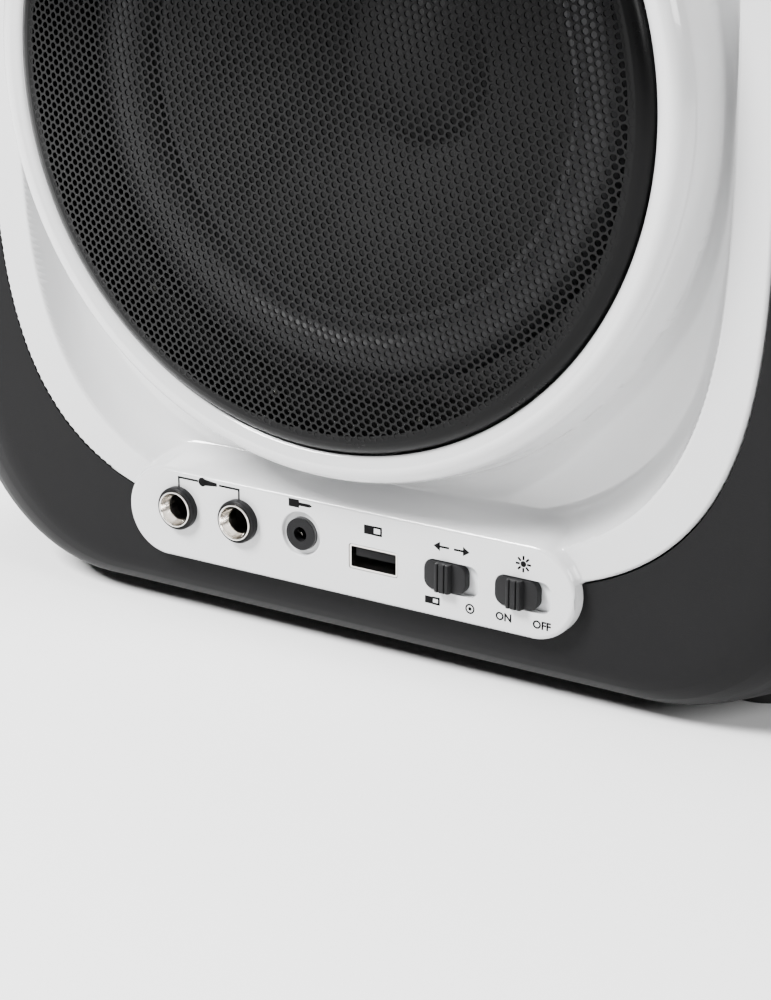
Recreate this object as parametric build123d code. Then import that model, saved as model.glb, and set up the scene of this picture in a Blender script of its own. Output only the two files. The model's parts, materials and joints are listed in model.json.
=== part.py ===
from build123d import *
import math
import os

# Karaoke machine with a motor-driven disc tray.
# +X is to the right seen from the front, the front faces -Y, +Z is up.
# The origin is on the floor, in the middle of the machine's width and depth.

# ---- whole machine -----------------------------------------------------------------
depth = 250.0                # crown of the grille to the rear face
case_width = 300.0
case_height = 330.0
foot_height = 4.0
wall = 3.0
split_y = -15.0              # joint plane of the front and rear shells

# ---- front, measured back from the face of the input strip --------------------------
grille_crown = 19.0          # grille crown ahead of the strip face
strip_proud = 3.7            # strip face ahead of the case front
side_round = 43.0            # front to side curve, in plan
edge_round = 8.5             # front to bottom and front to top curve
body_corner = 30.0           # corner radius seen from the front
back_round = 9.0             # rear edge curve

# ---- bezel and speaker opening -------------------------------------------------------
speaker_z = 139.2
bezel_half_width = 105.5
bezel_half_height = 113.0
bezel_power = 3.5
lip_half_width = 96.0
lip_half_height = 106.5
lip_power = 3.3
band_sink = 3.0              # outer band behind the strip face
bezel_wall = 2.5
bezel_gap = 0.4
flange_grow = 1.4
ring_inner = 84.0
ring_crest = 9.6
ring_edge = 8.4
ring_outer = 92.5
ring_shoulder = 2.5          # the front's outer edge, inwards from the ring's foot
ring_flank = 1.3             # middle of the flank, inwards from the ring's foot
cove_depth = 13.0
cove_foot = 93.0
collar_back = 9.0

# ---- input strip -----------------------------------------------------------------------
strip_length = 126.2
strip_height = 22.8
strip_z = 28.2
strip_wall = 3.5
strip_edge = 1.2
boss_inset = 2.2
shoulder_grow = 9.0
shoulder_depth = 12.0
mic_inset = 15.6             # first microphone socket from the left end
mic_pitch = 18.0
jack_z = 30.1
mic_bore_radius = 3.2
mic_bore_length = 12.0
mic_nut_radius = 4.5
mic_nut_proud = 2.4
mic_ring_radius = 5.4
mic_ring_proud = 1.9
mic_body = (13.0, 29.0)      # width, depth
mic_body_up = 5.4            # top of the body over the socket
aux_share = -0.0911          # sockets near the middle, as a share of the strip's length
aux_bore_radius = 1.8
aux_bore_length = 14.0
aux_nose_radius = 4.0
aux_recess_radius = 5.8
aux_recess_depth = 1.0
aux_body = (11.0, 14.0)
usb_share = 0.0713
usb_z = 27.4
usb_width = 13.3
usb_height = 5.9
usb_depth = 14.0
usb_wall = 0.4
usb_tongue_size = (11.1, 8.9, 1.85)
switch_inset = 13.55         # last switch from the right end
switch_pitch = 19.05
switch_z = 27.4
slot_width = 14.8
slot_height = 7.7
slot_corner = 2.7
slot_sink = 2.0
slide_width = 11.4
slide_clear = 0.1
slide_gap = 0.3
slide_proud = 0.5
rib_width = 4.0
rib_proud = 2.2
stem_size = (4.0, 2.4)       # width, height
switch_body = (13.0, 8.0)    # width, depth
board_thick = 1.6
input_board_z = 19.0
input_board_inset = 5.1      # board's end from the strip's end
input_board_depth = 30.0

# ---- speaker -----------------------------------------------------------------------------
grille_sheet = 1.0
grille_edge_radius = 80.5
grille_edge_proud = 11.0
grille_skirt_radius = 83.6
grille_skirt_back = 4.0
ring_thick = 6.0
led_inner = 76.5
led_thick = 1.6
led_count = 12
driver_flange = 2.5
surround_outer = 73.0
surround_inner = 55.0
cone_back = 30.0
coil_radius = 17.0
cap_radius = 20.5
cap_proud = 13.0             # top of the dust cap ahead of the coil end of the cone
cap_sheet = 1.0
basket_back = 44.0
magnet_radius = 45.0
magnet_thick = 18.0
basket_windows = 6
window_size = (40.0, 20.0, 34.0)
window_radius = 60.0
window_back = 24.0

# ---- tray and drive ------------------------------------------------------------------------
tray_travel = 128.0
tray_front_width = 148.0
tray_front_height = 22.0
tray_front_rise = 5.0
tray_front_thick = 5.0
tray_front_gap = 0.6
tray_half_width = 68.0
tray_length = 158.0
tray_drop = 61.0             # underside of the tray below the top of the case; heights below are from it
tray_top_rise = 8.0
disc_radius = 60.0
disc_clear = 0.5
small_disc_radius = 40.0
well_floor_rise = 4.5
small_floor_rise = 3.3
well_margin = 5.5
tray_slot_half = 21.0
rib_reach = 4.0
rib_low_rise = 1.0
rib_high_rise = 4.0
run_gap = 0.3
rack_module = 1.5
pinion_teeth = 16
pinion_y = -76.0
rack_pitch_x = 57.0
rack_back_x = 62.0
rack_low_rise = -4.5
train_module = 1.0
drive_teeth = 36
idler_teeth = 14
tooth_backlash = 0.25
pressure_angle = 20.0
addendum = 0.8
dedendum = 1.05
pulley_radius = 12.0
motor_pulley_radius = 6.0
pulley_flange = 1.2
belt_thick = 1.2
belt_low_rise = -18.4
belt_high_rise = -16.1
pulley_low_rise = -19.8
pulley_high_rise = -14.8
motor_x = -18.0
axle_radius = 2.5
bore_gap = 0.05
gear_low_rise = -10.7
gear_high_rise = -7.3
pinion_high_rise = -0.4
chassis_floor_rise = -21.0
chassis_thick = 3.0
chassis_wall = 3.0
chassis_back = 58.0
chassis_front = -96.5
chassis_top_rise = 14.0
ear_reach = 12.0
ear_y = (-5.0, 50.0)
post_radius = 4.0
deck_half = 34.0
deck_plate_rise = (-11.0, -8.0)
sled_top_rise = -0.6
lens_low_rise = -2.0
lens_top_rise = 3.2
deck_front = -52.0
deck_back = 50.0
deck_pivot_z_rise = -13.0
deck_pin_radius = 2.0
hub_radius = 7.4
table_radius = 14.0
table_top_rise = 5.6
hub_top_rise = 8.5
spindle_radius = 1.5
spindle_motor_radius = 11.0
sled_half = 17.0
sled_length = 26.0
sled_start = 24.0            # lens centre behind the hub
sled_travel = 33.0
rod_x = 26.0
rod_z_rise = -4.5
rod_radius = 1.5
bridge_depth = 40.0
bridge_thick = 2.5
puck_radius = 14.0
puck_neck = 8.5

# ---- control panel ---------------------------------------------------------------------------
panel_slope = 22.0
panel_thick = 5.0
panel_mid = 46.0             # middle of the controls, down the slope from its top edge
display_size = (84.0, 24.0)
display_up = 17.0
display_thick = 1.5
button_radius = 6.5
button_gap = 0.3
button_proud = 1.8
button_travel = 1.0
button_pitch = 22.0
button_down = 13.0
button_names = ("power", "stop", "back", "play", "next", "open")
knob_radius = 12.0
knob_height = 13.0
knob_shaft = 3.0
knob_inset = 40.0            # outer knobs from the sides of the case
knob_pitch = 34.0
knob_up = 8.0
panel_board_drop = 12.0
panel_board_up = 40.0
panel_board_gap = 2.0         # from the board to the inner potentiometers
pot_radius = 9.0

# ---- carry handle --------------------------------------------------------------------------------
handle_half = 97.0
handle_front = 24.0
handle_pivot_y = 62.0
handle_pivot_drop = 7.0
handle_section = (12.0, 11.0)
handle_pin_radius = 3.0
recess_half = 100.0
recess_y = (8.0, 74.0)
recess_drop = 16.0
pocket_half = 50.0
pocket_back = 50.0
pocket_drop = 30.0

# ---- rear ---------------------------------------------------------------------------------------------
jack_recess_x = (-112.0, -18.0)
jack_recess_z = (22.0, 58.0)
jack_recess_depth = 12.0
rear_jack_z = 37.0
phono_x = (-98.0, -80.0, -62.0)
phono_radius = 4.15
phono_neck = 3.6               # radius of the part that passes through the plate
phono_length = 9.0
inlet_x = -34.0
inlet_bore = 2.85
inlet_length = 9.0
vent_width = 70.0
vent_height = 3.2
vent_pitch = 8.0
vent_rows = 6
vent_drop = 134.0            # lowest vent below the top of the case
vent_x = (-55.0, 55.0)
screw_places = ((-130.0, 44.0), (130.0, 44.0), (-130.0, 294.0), (130.0, 294.0))
screw_tube = 6.0
screw_rib = 3.0
screw_length = 12.0          # hole for the thread in the front shell
boss_length = 26.0
screw_well = 4.0
screw_head = 3.4
screw_shank = 1.6
main_board_size = (150.0, 80.0)
main_board_y = 62.0
main_board_post = 5.0
foot_places = ((-92.0, -66.0), (92.0, -66.0), (-92.0, 98.0), (92.0, 98.0))
foot_radius = 10.0

# ---- planes that follow from the sizes above ------------------------------------------------------------
strip_y = -depth / 2 + grille_crown
face_y = strip_y + strip_proud
back_y = depth / 2
case_bottom = foot_height
case_top = case_bottom + case_height
case_mid = case_bottom + case_height / 2
recess_floor = case_top - recess_drop
pocket_floor = case_top - pocket_drop
handle_pivot_z = case_top - handle_pivot_drop
vent_z = case_top - vent_drop
tray_bottom = case_top - tray_drop
tray_front_z = tray_bottom + tray_front_rise
tray_top = tray_bottom + tray_top_rise
well_floor = tray_bottom + well_floor_rise
small_floor = tray_bottom + small_floor_rise
rib_low = tray_bottom + rib_low_rise
rib_high = tray_bottom + rib_high_rise
rack_low = tray_bottom + rack_low_rise
belt_low = tray_bottom + belt_low_rise
belt_high = tray_bottom + belt_high_rise
pulley_low = tray_bottom + pulley_low_rise
pulley_high = tray_bottom + pulley_high_rise
gear_low = tray_bottom + gear_low_rise
gear_high = tray_bottom + gear_high_rise
pinion_high = tray_bottom + pinion_high_rise
chassis_floor = tray_bottom + chassis_floor_rise
chassis_top = tray_bottom + chassis_top_rise
deck_pivot_z = tray_bottom + deck_pivot_z_rise
table_top = tray_bottom + table_top_rise
hub_top = tray_bottom + hub_top_rise
rod_z = tray_bottom + rod_z_rise
deck_plate = tuple(tray_bottom + rise for rise in deck_plate_rise)
sled_top = tray_bottom + sled_top_rise
lens_low = tray_bottom + lens_low_rise
lens_top = tray_bottom + lens_top_rise
inner_floor = case_bottom + wall
mic_x = (mic_inset - strip_length / 2, mic_inset + mic_pitch - strip_length / 2)
aux_x = aux_share * strip_length
usb_x = usb_share * strip_length
switch_x = (strip_length / 2 - switch_inset - switch_pitch, strip_length / 2 - switch_inset)
input_board_length = strip_length - 2 * input_board_inset
knob_x = case_width / 2 - knob_inset
panel_board_length = 2 * (knob_x - knob_pitch - pot_radius - panel_board_gap)
knob_places = {
    "mic_one": (-knob_x, knob_up), "mic_two": (knob_pitch - knob_x, knob_up),
    "echo": (knob_x - knob_pitch, knob_up), "volume": (knob_x, knob_up),
}
pinion_radius = rack_module * pinion_teeth / 2
drive_radius = train_module * drive_teeth / 2
idler_radius = train_module * idler_teeth / 2
pinion_x = rack_pitch_x - pinion_radius
idler_x = pinion_x - drive_radius - idler_radius
tray_front_y = strip_y + tray_front_thick
hub_y = tray_front_y + well_margin + disc_radius + disc_clear
slide_travel = slot_width - slide_width - 2 * slide_clear
chassis_half = tray_half_width + rib_reach + run_gap
speaker_axis = Axis((0, 0, speaker_z), (0, 1, 0))
panel_plane = Plane(
    origin=(0, split_y - panel_mid * math.cos(math.radians(panel_slope)),
            case_top - panel_mid * math.sin(math.radians(panel_slope))),
    x_dir=(1, 0, 0),
    z_dir=(0, -math.sin(math.radians(panel_slope)), math.cos(math.radians(panel_slope))),
)


# ---- small helpers -----------------------------------------------------------------------------------------
def block(x, y, z):
    """A box from three (low, high) pairs."""
    size = [high - low for low, high in (x, y, z)]
    middle = [(high + low) / 2 for low, high in (x, y, z)]
    return Pos(*middle) * Box(*size)


def post(x, y, z_low, z_high, radius):
    """An upright cylinder."""
    return Pos(x, y, (z_low + z_high) / 2) * Cylinder(radius, z_high - z_low)


def pin_y(x, z, y_front, y_back, radius):
    """A cylinder that runs from front to back."""
    return Pos(x, (y_front + y_back) / 2, z) * Rot(90, 0, 0) * Cylinder(radius, y_back - y_front)


def pin_x(y, z, x_low, x_high, radius):
    """A cylinder that runs from side to side."""
    return Pos((x_low + x_high) / 2, y, z) * Rot(0, 90, 0) * Cylinder(radius, x_high - x_low)


def prism_y(sketch, x, z, y_front, y_back):
    """A sketch drawn as seen from the front, made solid from y_front to y_back."""
    plane = Plane(origin=(x, y_back, z), x_dir=(1, 0, 0), z_dir=(0, -1, 0))
    return extrude(plane * sketch, y_back - y_front)


def turned(points, closed=True):
    """A solid of revolution about the speaker's axis from (radius, y) points."""
    outline = Polyline(*[(r, y, speaker_z) for r, y in points], close=closed)
    return revolve(make_face(outline), speaker_axis)


def cap_arc(apex, edge_radius, edge_y):
    """A round arc from the speaker's axis out to an edge, square to the axis where it crosses it."""
    rise = edge_y - apex
    ball = (edge_radius ** 2 + rise ** 2) / (2 * rise)
    middle = edge_radius / 2
    return ThreePointArc((0, apex, speaker_z), (middle, apex + ball - math.sqrt(ball ** 2 - middle ** 2), speaker_z),
                         (edge_radius, edge_y, speaker_z))


def superellipse(half_width, half_height, power, y, count=40):
    """The face inside a rounded square curve |x/a|^n + |z/b|^n = 1 about the speaker's axis."""
    points = []
    for step in range(count):
        angle = 2 * math.pi * step / count
        c, s = math.cos(angle), math.sin(angle)
        reach = (abs(c / half_width) ** power + abs(s / half_height) ** power) ** (-1 / power)
        points.append((reach * c, y, speaker_z + reach * s))
    return make_face(Spline(*points, periodic=True))


def superellipse_prism(half_width, half_height, power, y_front, y_back):
    """The rounded square curve made solid from y_front to y_back."""
    return extrude(superellipse(half_width, half_height, power, y_front), y_back - y_front, dir=(0, 1, 0))


# ---- case ----------------------------------------------------------------------------------------------------
def case_outline(inset):
    """Outline of the case seen from the front, drawn in by inset."""
    return RectangleRounded(case_width - 2 * inset, case_height - 2 * inset, body_corner - inset)


def case_front_form(inset):
    """The front half of the case as a solid, drawn in by inset on every outer side."""
    front = face_y + inset
    half = case_width / 2 - inset
    low, high = case_bottom + inset, case_top - inset
    plan = block((-half, half), (front, split_y), (low, high))
    plan = fillet(plan.edges().filter_by(Axis.Z).sort_by(Axis.Y)[:2], side_round - inset)
    profile = block((-half, half), (front, split_y), (low, high))
    profile = fillet(profile.edges().filter_by(Axis.X).sort_by(Axis.Y)[:2], edge_round - inset)
    return plan & profile & prism_y(case_outline(inset), 0, case_mid, front, split_y)


def case_rear_form(inset):
    """The rear half of the case, drawn in by inset."""
    form = prism_y(case_outline(inset), 0, case_mid, split_y, back_y - inset)
    rim = form.faces().sort_by(Axis.Y)[-1].edges()
    return fillet(rim, back_round - inset)


def above_slope(lift):
    """Everything above the sloping plane of the control panel, raised by lift."""
    size = 2 * case_width
    return panel_plane * Pos(0, 0, size / 2 + lift) * Box(2 * size, 2 * size, size)


def stadium(length, height):
    """A bar with round ends."""
    return SlotOverall(length, height)


def front_shell():
    shell = case_front_form(0) - case_front_form(wall) - above_slope(-panel_thick)
    inner = face_y + wall
    opening = superellipse_prism(
        bezel_half_width + bezel_gap, bezel_half_height + bezel_gap, bezel_power, face_y - 1, inner + 1
    )
    shell -= opening
    shell -= prism_y(
        stadium(strip_length - 2 * boss_inset, strip_height - 2 * boss_inset), 0, strip_z, face_y - 1, inner + 1
    )
    shell -= prism_y(
        stadium(tray_front_width + 2 * tray_front_gap, tray_front_height + 2 * tray_front_gap),
        0, tray_front_z, face_y - 1, inner + 1,
    )
    for x in (-input_board_length / 2 + 6, input_board_length / 2 - 6):
        for y in (input_board_y() + 5, input_board_y() + input_board_depth - 5):
            shell += post(x, y, inner_floor - 1, input_board_z, 3.0)
    for x, z in screw_places:
        rib = block(sorted((x, math.copysign(case_width / 2 - 1, x))), (split_y - boss_length, split_y),
                    (z - screw_rib / 2, z + screw_rib / 2))
        shell += pin_y(x, z, split_y - boss_length, split_y, screw_tube) + rib
        shell -= pin_y(x, z, split_y - screw_length, split_y + 1, screw_shank)
    return shell - above_slope(-panel_thick)


def control_panel():
    """The sloping deck that carries the display, buttons and knobs."""
    panel = case_front_form(0) - above_slope(0)
    panel &= above_slope(-panel_thick)
    panel -= panel_plane * display_pocket()
    for name in button_names:
        panel -= panel_plane * Pos(*button_place(name)) * Cylinder(button_radius + button_gap, 4 * panel_thick)
    for place in knob_places.values():
        panel -= panel_plane * Pos(*place) * Cylinder(knob_shaft + 2.0, 4 * panel_thick)
    return panel


def rear_shell():
    shell = case_rear_form(0) - case_rear_form(wall)
    shell += block(
        (-recess_half - 4 - wall, recess_half + 4 + wall),
        (recess_y[0] - wall, recess_y[1] + wall),
        (recess_floor - wall, case_top - 1),
    )
    shell += block(
        (-pocket_half - wall, pocket_half + wall), (recess_y[0] - wall, pocket_back + wall),
        (pocket_floor - wall, recess_floor),
    )
    for x in (-1, 1):
        for y in ear_y:
            shell += post(x * (chassis_half + chassis_wall + ear_reach / 2), y, chassis_top, recess_floor - 1, post_radius)
            shell += post(x * (chassis_half + chassis_wall + ear_reach / 2), y, recess_floor - 1,
                          case_top - 1, post_radius)
    recess = block((-recess_half, recess_half), recess_y, (recess_floor, case_top + 1))
    recess = fillet(recess.edges().filter_by(Axis.Z), 5.0)
    shell -= recess
    pocket = block((-pocket_half, pocket_half), (recess_y[0], pocket_back), (pocket_floor, case_top))
    shell -= fillet(pocket.edges().filter_by(Axis.Z), 5.0)
    for side in (-1, 1):
        ends = sorted((side * (recess_half - 1), side * (recess_half + 3)))
        shell -= pin_x(handle_pivot_y, handle_pivot_z, ends[0], ends[1], handle_pin_radius + bore_gap)
    for row in range(vent_rows):
        for x in vent_x:
            shell -= prism_y(
                stadium(vent_width, vent_height), x, vent_z + row * vent_pitch, back_y - wall - 1, back_y + 1
            )
    middle_x = sum(jack_recess_x) / 2
    middle_z = sum(jack_recess_z) / 2
    size_x = jack_recess_x[1] - jack_recess_x[0]
    size_z = jack_recess_z[1] - jack_recess_z[0]
    bay = prism_y(RectangleRounded(size_x + 2 * wall, size_z + 2 * wall, 4.0), middle_x, middle_z,
                  back_y - jack_recess_depth, back_y - 1)
    shell += bay
    shell -= prism_y(RectangleRounded(size_x, size_z, 3.0), middle_x, middle_z,
                     back_y - jack_recess_depth - 1, back_y + 1)
    for x, z in screw_places:
        shell += pin_y(x, z, split_y, back_y - 1, screw_tube)
        shell -= pin_y(x, z, split_y + wall, back_y + 1, screw_well)
        shell -= pin_y(x, z, split_y - 1, split_y + wall + 1, screw_shank + 0.1)
    for x in (-1, 1):
        for y in (-1, 1):
            shell += post(x * (main_board_size[0] / 2 - 6), main_board_y + y * (main_board_size[1] / 2 - 6),
                          inner_floor - 1, inner_floor + main_board_post, 3.0)
    return shell


def feet():
    return [post(x, y, 0, case_bottom, foot_radius) for x, y in foot_places]


def case_screws():
    screws = []
    for x, z in screw_places:
        seat = split_y + wall
        screws.append(pin_y(x, z, seat, seat + 3, screw_head)
                      + pin_y(x, z, split_y - screw_length + 1, seat, screw_shank))
    return screws


# ---- bezel -----------------------------------------------------------------------------------------------------
def collar(inset):
    """The proud ring round the speaker and its flank down into the cove, drawn in by inset."""
    inner = ring_inner + inset
    crest = strip_y - ring_crest + inset
    edge = strip_y - ring_edge + inset
    outer = ring_outer - inset
    shoulder = outer - ring_shoulder
    back = strip_y + cove_depth + bezel_wall
    front = ThreePointArc((inner, edge, speaker_z), ((inner + shoulder + inset) / 2, crest, speaker_z),
                          (shoulder, edge + 1.2, speaker_z))
    flank = Spline((shoulder, edge + 1.2, speaker_z), (outer - ring_flank, strip_y - 1, speaker_z),
                   (outer, strip_y + cove_depth, speaker_z))
    rest = Polyline((outer, strip_y + cove_depth, speaker_z), (outer, back, speaker_z),
                    (inner, back, speaker_z), (inner, edge, speaker_z))
    return revolve(make_face(front + flank + rest), speaker_axis)


def cove(grow, sink):
    """The dished hollow between the outer band and the collar, grown outwards and back."""
    lip = superellipse(lip_half_width + grow, lip_half_height + grow, lip_power, strip_y + band_sink - 1 + sink)
    foot = superellipse(cove_foot + grow, cove_foot + grow, 2.0, strip_y + cove_depth + sink)
    return loft([lip, foot], ruled=True)


def strip_boss():
    """The raised bar that carries the sockets and switches, with its shoulder up into the cove."""
    bar = prism_y(stadium(strip_length, strip_height), 0, strip_z, strip_y, face_y)
    bar = fillet(bar.faces().sort_by(Axis.Y)[0].edges(), strip_edge)
    front = Plane(origin=(0, strip_y + 2, strip_z), x_dir=(1, 0, 0), z_dir=(0, -1, 0))
    back = Plane(origin=(0, strip_y + shoulder_depth, strip_z + 2), x_dir=(1, 0, 0), z_dir=(0, -1, 0))
    grown = stadium(strip_length + 2 * shoulder_grow, strip_height + 2 * shoulder_grow)
    shoulder = loft([back * grown, front * stadium(strip_length, strip_height)], ruled=True)
    limit = superellipse_prism(lip_half_width + 1, lip_half_height + 1, lip_power, strip_y, strip_y + cove_depth + 2)
    return bar + (shoulder & limit)


def front_bezel():
    back = strip_y + cove_depth + bezel_wall
    flange_front = face_y + wall
    plug = superellipse_prism(bezel_half_width, bezel_half_height, bezel_power, strip_y + band_sink, flange_front)
    skirt = superellipse_prism(bezel_half_width + flange_grow, bezel_half_height + flange_grow, bezel_power,
                               flange_front, flange_front + bezel_wall)
    dish = cove(bezel_wall, bezel_wall) & superellipse_prism(
        bezel_half_width, bezel_half_height, bezel_power, strip_y + band_sink, back)
    body = plug + skirt + dish
    body -= cove(0, 0)
    body += strip_boss()
    hollow = prism_y(stadium(strip_length - 2 * boss_inset, strip_height - 2 * boss_inset), 0, strip_z,
                     strip_y + strip_wall, back + 1)
    body -= hollow
    body -= pin_y(0, speaker_z, strip_y - 20, back + 1, ring_inner + 2)
    body += collar(0)
    for x in mic_x:
        body -= pin_y(x, jack_z, strip_y - 1, strip_y + strip_wall + 1, mic_nut_radius + 0.1)
    body -= pin_y(aux_x, jack_z, strip_y - 1, strip_y + aux_recess_depth, aux_recess_radius)
    body -= pin_y(aux_x, jack_z, strip_y - 1, strip_y + strip_wall + 1, aux_nose_radius + 0.1)
    body -= prism_y(RectangleRounded(usb_width + 0.6, usb_height + 0.6, 0.8), usb_x, usb_z,
                    strip_y - 1, strip_y + strip_wall + 1)
    for x in switch_x:
        body -= prism_y(RectangleRounded(slot_width, slot_height, slot_corner), x, switch_z,
                        strip_y - 1, strip_y + slot_sink)
        body -= prism_y(Rectangle(stem_size[0] + slide_travel + 0.6, stem_size[1] + 0.6), x, switch_z,
                        strip_y, strip_y + strip_wall + 1)
    return body


# ---- input strip pieces --------------------------------------------------------------------------------------------
def input_board_y():
    """Front edge of the board under the sockets."""
    return face_y + wall + 0.5


def mic_jack_nuts():
    """Two plated bushes with a funnel mouth."""
    nuts = []
    front = strip_y - mic_nut_proud
    for x in mic_x:
        nut = pin_y(x, jack_z, front, front + mic_bore_length + 2.0, mic_nut_radius)
        nut -= pin_y(x, jack_z, front - 1, front + mic_bore_length + 3.0, mic_bore_radius)
        mouth = Cone(mic_nut_radius - 0.3, mic_bore_radius, 2.0)
        nut -= Pos(x, front + 1.0, jack_z) * Rot(-90, 0, 0) * mouth
        nuts.append(nut)
    return nuts


def mic_jack_bodies():
    """Two black jack bodies, each with a proud ring round its bush."""
    bodies = []
    width, long = mic_body
    for x in mic_x:
        front = strip_y + strip_wall
        body = block((x - width / 2, x + width / 2), (front, front + long),
                     (input_board_z + board_thick, jack_z + mic_body_up))
        body -= pin_y(x, jack_z, front - 1, strip_y - mic_nut_proud + mic_bore_length + 2.0, mic_nut_radius)
        body -= pin_y(x, jack_z, front - 1, front + long - 3, mic_bore_radius + 0.2)
        bodies.append(body)
    return bodies


def mic_jack_rings():
    rings = []
    for x in mic_x:
        ring = pin_y(x, jack_z, strip_y - mic_ring_proud, strip_y, mic_ring_radius)
        rings.append(ring - pin_y(x, jack_z, strip_y - 5, strip_y + 5, mic_nut_radius))
    return rings


def aux_jack():
    width, long = aux_body
    front = strip_y + strip_wall
    body = block((aux_x - width / 2, aux_x + width / 2), (front, front + long),
                 (input_board_z + board_thick, jack_z + width / 2))
    body += pin_y(aux_x, jack_z, strip_y - 0.3, front, aux_nose_radius)
    return body - pin_y(aux_x, jack_z, strip_y - 1, strip_y - 0.3 + aux_bore_length, aux_bore_radius)


def usb_shell():
    front = strip_y + 0.2
    shell = prism_y(RectangleRounded(usb_width, usb_height, 0.6), usb_x, usb_z, front, front + usb_depth)
    hollow = prism_y(RectangleRounded(usb_width - 2 * usb_wall, usb_height - 2 * usb_wall, 0.3),
                     usb_x, usb_z, front - 1, front + usb_depth + 1)
    return shell - hollow


def usb_tongue():
    """The insulator: a tongue in the port, a block behind it and a foot on the board."""
    front = strip_y + 0.2
    width, long, thick = usb_tongue_size
    rear = front + usb_depth
    top = usb_z + usb_height / 2 - usb_wall - 0.8
    tongue = block((usb_x - width / 2, usb_x + width / 2), (rear - 4 - long, rear - 4), (top - thick, top))
    inside = usb_wall + 0.05
    plug = prism_y(RectangleRounded(usb_width - 2 * inside, usb_height - 2 * inside, 0.3),
                   usb_x, usb_z, rear - 4, rear)
    foot = block((usb_x - width / 2, usb_x + width / 2), (rear, rear + 2.5),
                 (input_board_z + board_thick, usb_z + usb_height / 2))
    return tongue + plug + foot


def slide_switches():
    """Two slide switch bodies with a groove for the moving stem."""
    switches = []
    width, long = switch_body
    for x in switch_x:
        front = strip_y + strip_wall + 0.2
        body = block((x - width / 2, x + width / 2), (front, front + long),
                     (input_board_z + board_thick, switch_z + 5))
        groove = block((x - width / 2 + 2, x + width / 2 - 2), (front - 1, front + 3),
                       (switch_z - stem_size[1] / 2 - 0.3, switch_z + stem_size[1] / 2 + 0.3))
        switches.append(body - groove)
    return switches


def slide_button(slot_x):
    """A sliding switch button with a grooved rib, at the left end of its slot."""
    left = slot_x - slot_width / 2 + slide_clear
    middle = left + slide_width / 2
    height = slot_height - 2 * slide_gap
    pad = prism_y(RectangleRounded(slide_width, height, slot_corner - slide_gap), middle, switch_z,
                  strip_y - slide_proud, strip_y + slot_sink - 0.2)
    rib = prism_y(Rectangle(rib_width, height), middle, switch_z, strip_y - rib_proud, strip_y)
    rib = fillet(rib.faces().sort_by(Axis.Y)[0].edges().filter_by(Axis.Z), 0.5)
    for offset in (-0.9, 0.9):
        rib -= block((middle + offset - 0.25, middle + offset + 0.25),
                     (strip_y - rib_proud - 1, strip_y - rib_proud + 0.4),
                     (switch_z - height, switch_z + height))
    stem = prism_y(Rectangle(*stem_size), middle, switch_z, strip_y, strip_y + strip_wall + 2.0)
    return pad + rib + stem


def input_board():
    front = input_board_y()
    return block((-input_board_length / 2, input_board_length / 2), (front, front + input_board_depth),
                 (input_board_z, input_board_z + board_thick))


# ---- speaker --------------------------------------------------------------------------------------------------------
def speaker_grille():
    """A domed steel dish with a rolled rim and a short skirt."""
    crown = strip_y - grille_crown
    edge = strip_y - grille_edge_proud
    back = strip_y + grille_skirt_back
    sheet = grille_sheet

    def section(inset):
        dome = cap_arc(crown + inset, grille_edge_radius - inset / 2, edge + inset)
        roll = TangentArc(dome @ 1, (grille_skirt_radius - inset, edge + 4 + inset, speaker_z), tangent=dome % 1)
        rest = Polyline(roll @ 1, (grille_skirt_radius - inset, back + inset, speaker_z),
                        (0, back + inset, speaker_z), (0, crown + inset, speaker_z))
        return revolve(make_face(dome + roll + rest), speaker_axis)

    return section(0) - section(sheet)


def retaining_ring():
    """The black ring that the grille's skirt stands on and the driver is screwed to."""
    front = strip_y + grille_skirt_back
    back = front + ring_thick
    return turned([(led_inner, front + led_thick), (led_inner, back), (ring_inner - 0.1, back),
                   (ring_inner - 0.1, front), (grille_skirt_radius - 2, front),
                   (grille_skirt_radius - 2, front + led_thick)])


def light_board():
    """A ring of small lamps behind the rim of the grille."""
    front = strip_y + grille_skirt_back
    ring = turned([(led_inner, front), (led_inner, front + led_thick),
                   (grille_skirt_radius - 2.1, front + led_thick), (grille_skirt_radius - 2.1, front)])
    middle = (led_inner + grille_skirt_radius - 2) / 2
    for step in range(led_count):
        angle = math.radians(360 * (step + 0.5) / led_count)
        x, z = middle * math.cos(angle), speaker_z + middle * math.sin(angle)
        ring += block((x - 1.4, x + 1.4), (front - 1.0, front + 0.5), (z - 1.4, z + 1.4))
    return ring


def driver_face():
    """Plane of the driver's mounting flange."""
    return strip_y + grille_skirt_back + ring_thick


def speaker_basket():
    front = driver_face()
    back = front + basket_back
    frame = turned([(surround_outer - 2, front), (ring_inner - 1, front), (ring_inner - 1, front + driver_flange),
                    (78, front + driver_flange), (74, front + 12), (48, back - 3), (48, back),
                    (22, back), (22, back - 3), (45, back - 3), (71, front + 12),
                    (surround_outer - 2, front + driver_flange)])
    for step in range(basket_windows):
        turn = Pos(0, 0, speaker_z) * Rot(0, 360 * step / basket_windows, 0)
        window = Pos(window_radius, front + window_back, 0) * Box(*window_size)
        frame -= turn * window
    return frame


def speaker_magnet():
    front = driver_face() + basket_back
    return pin_y(0, speaker_z, front, front + magnet_thick, magnet_radius) + pin_y(
        0, speaker_z, front - 8, front, 12.0)


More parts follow.
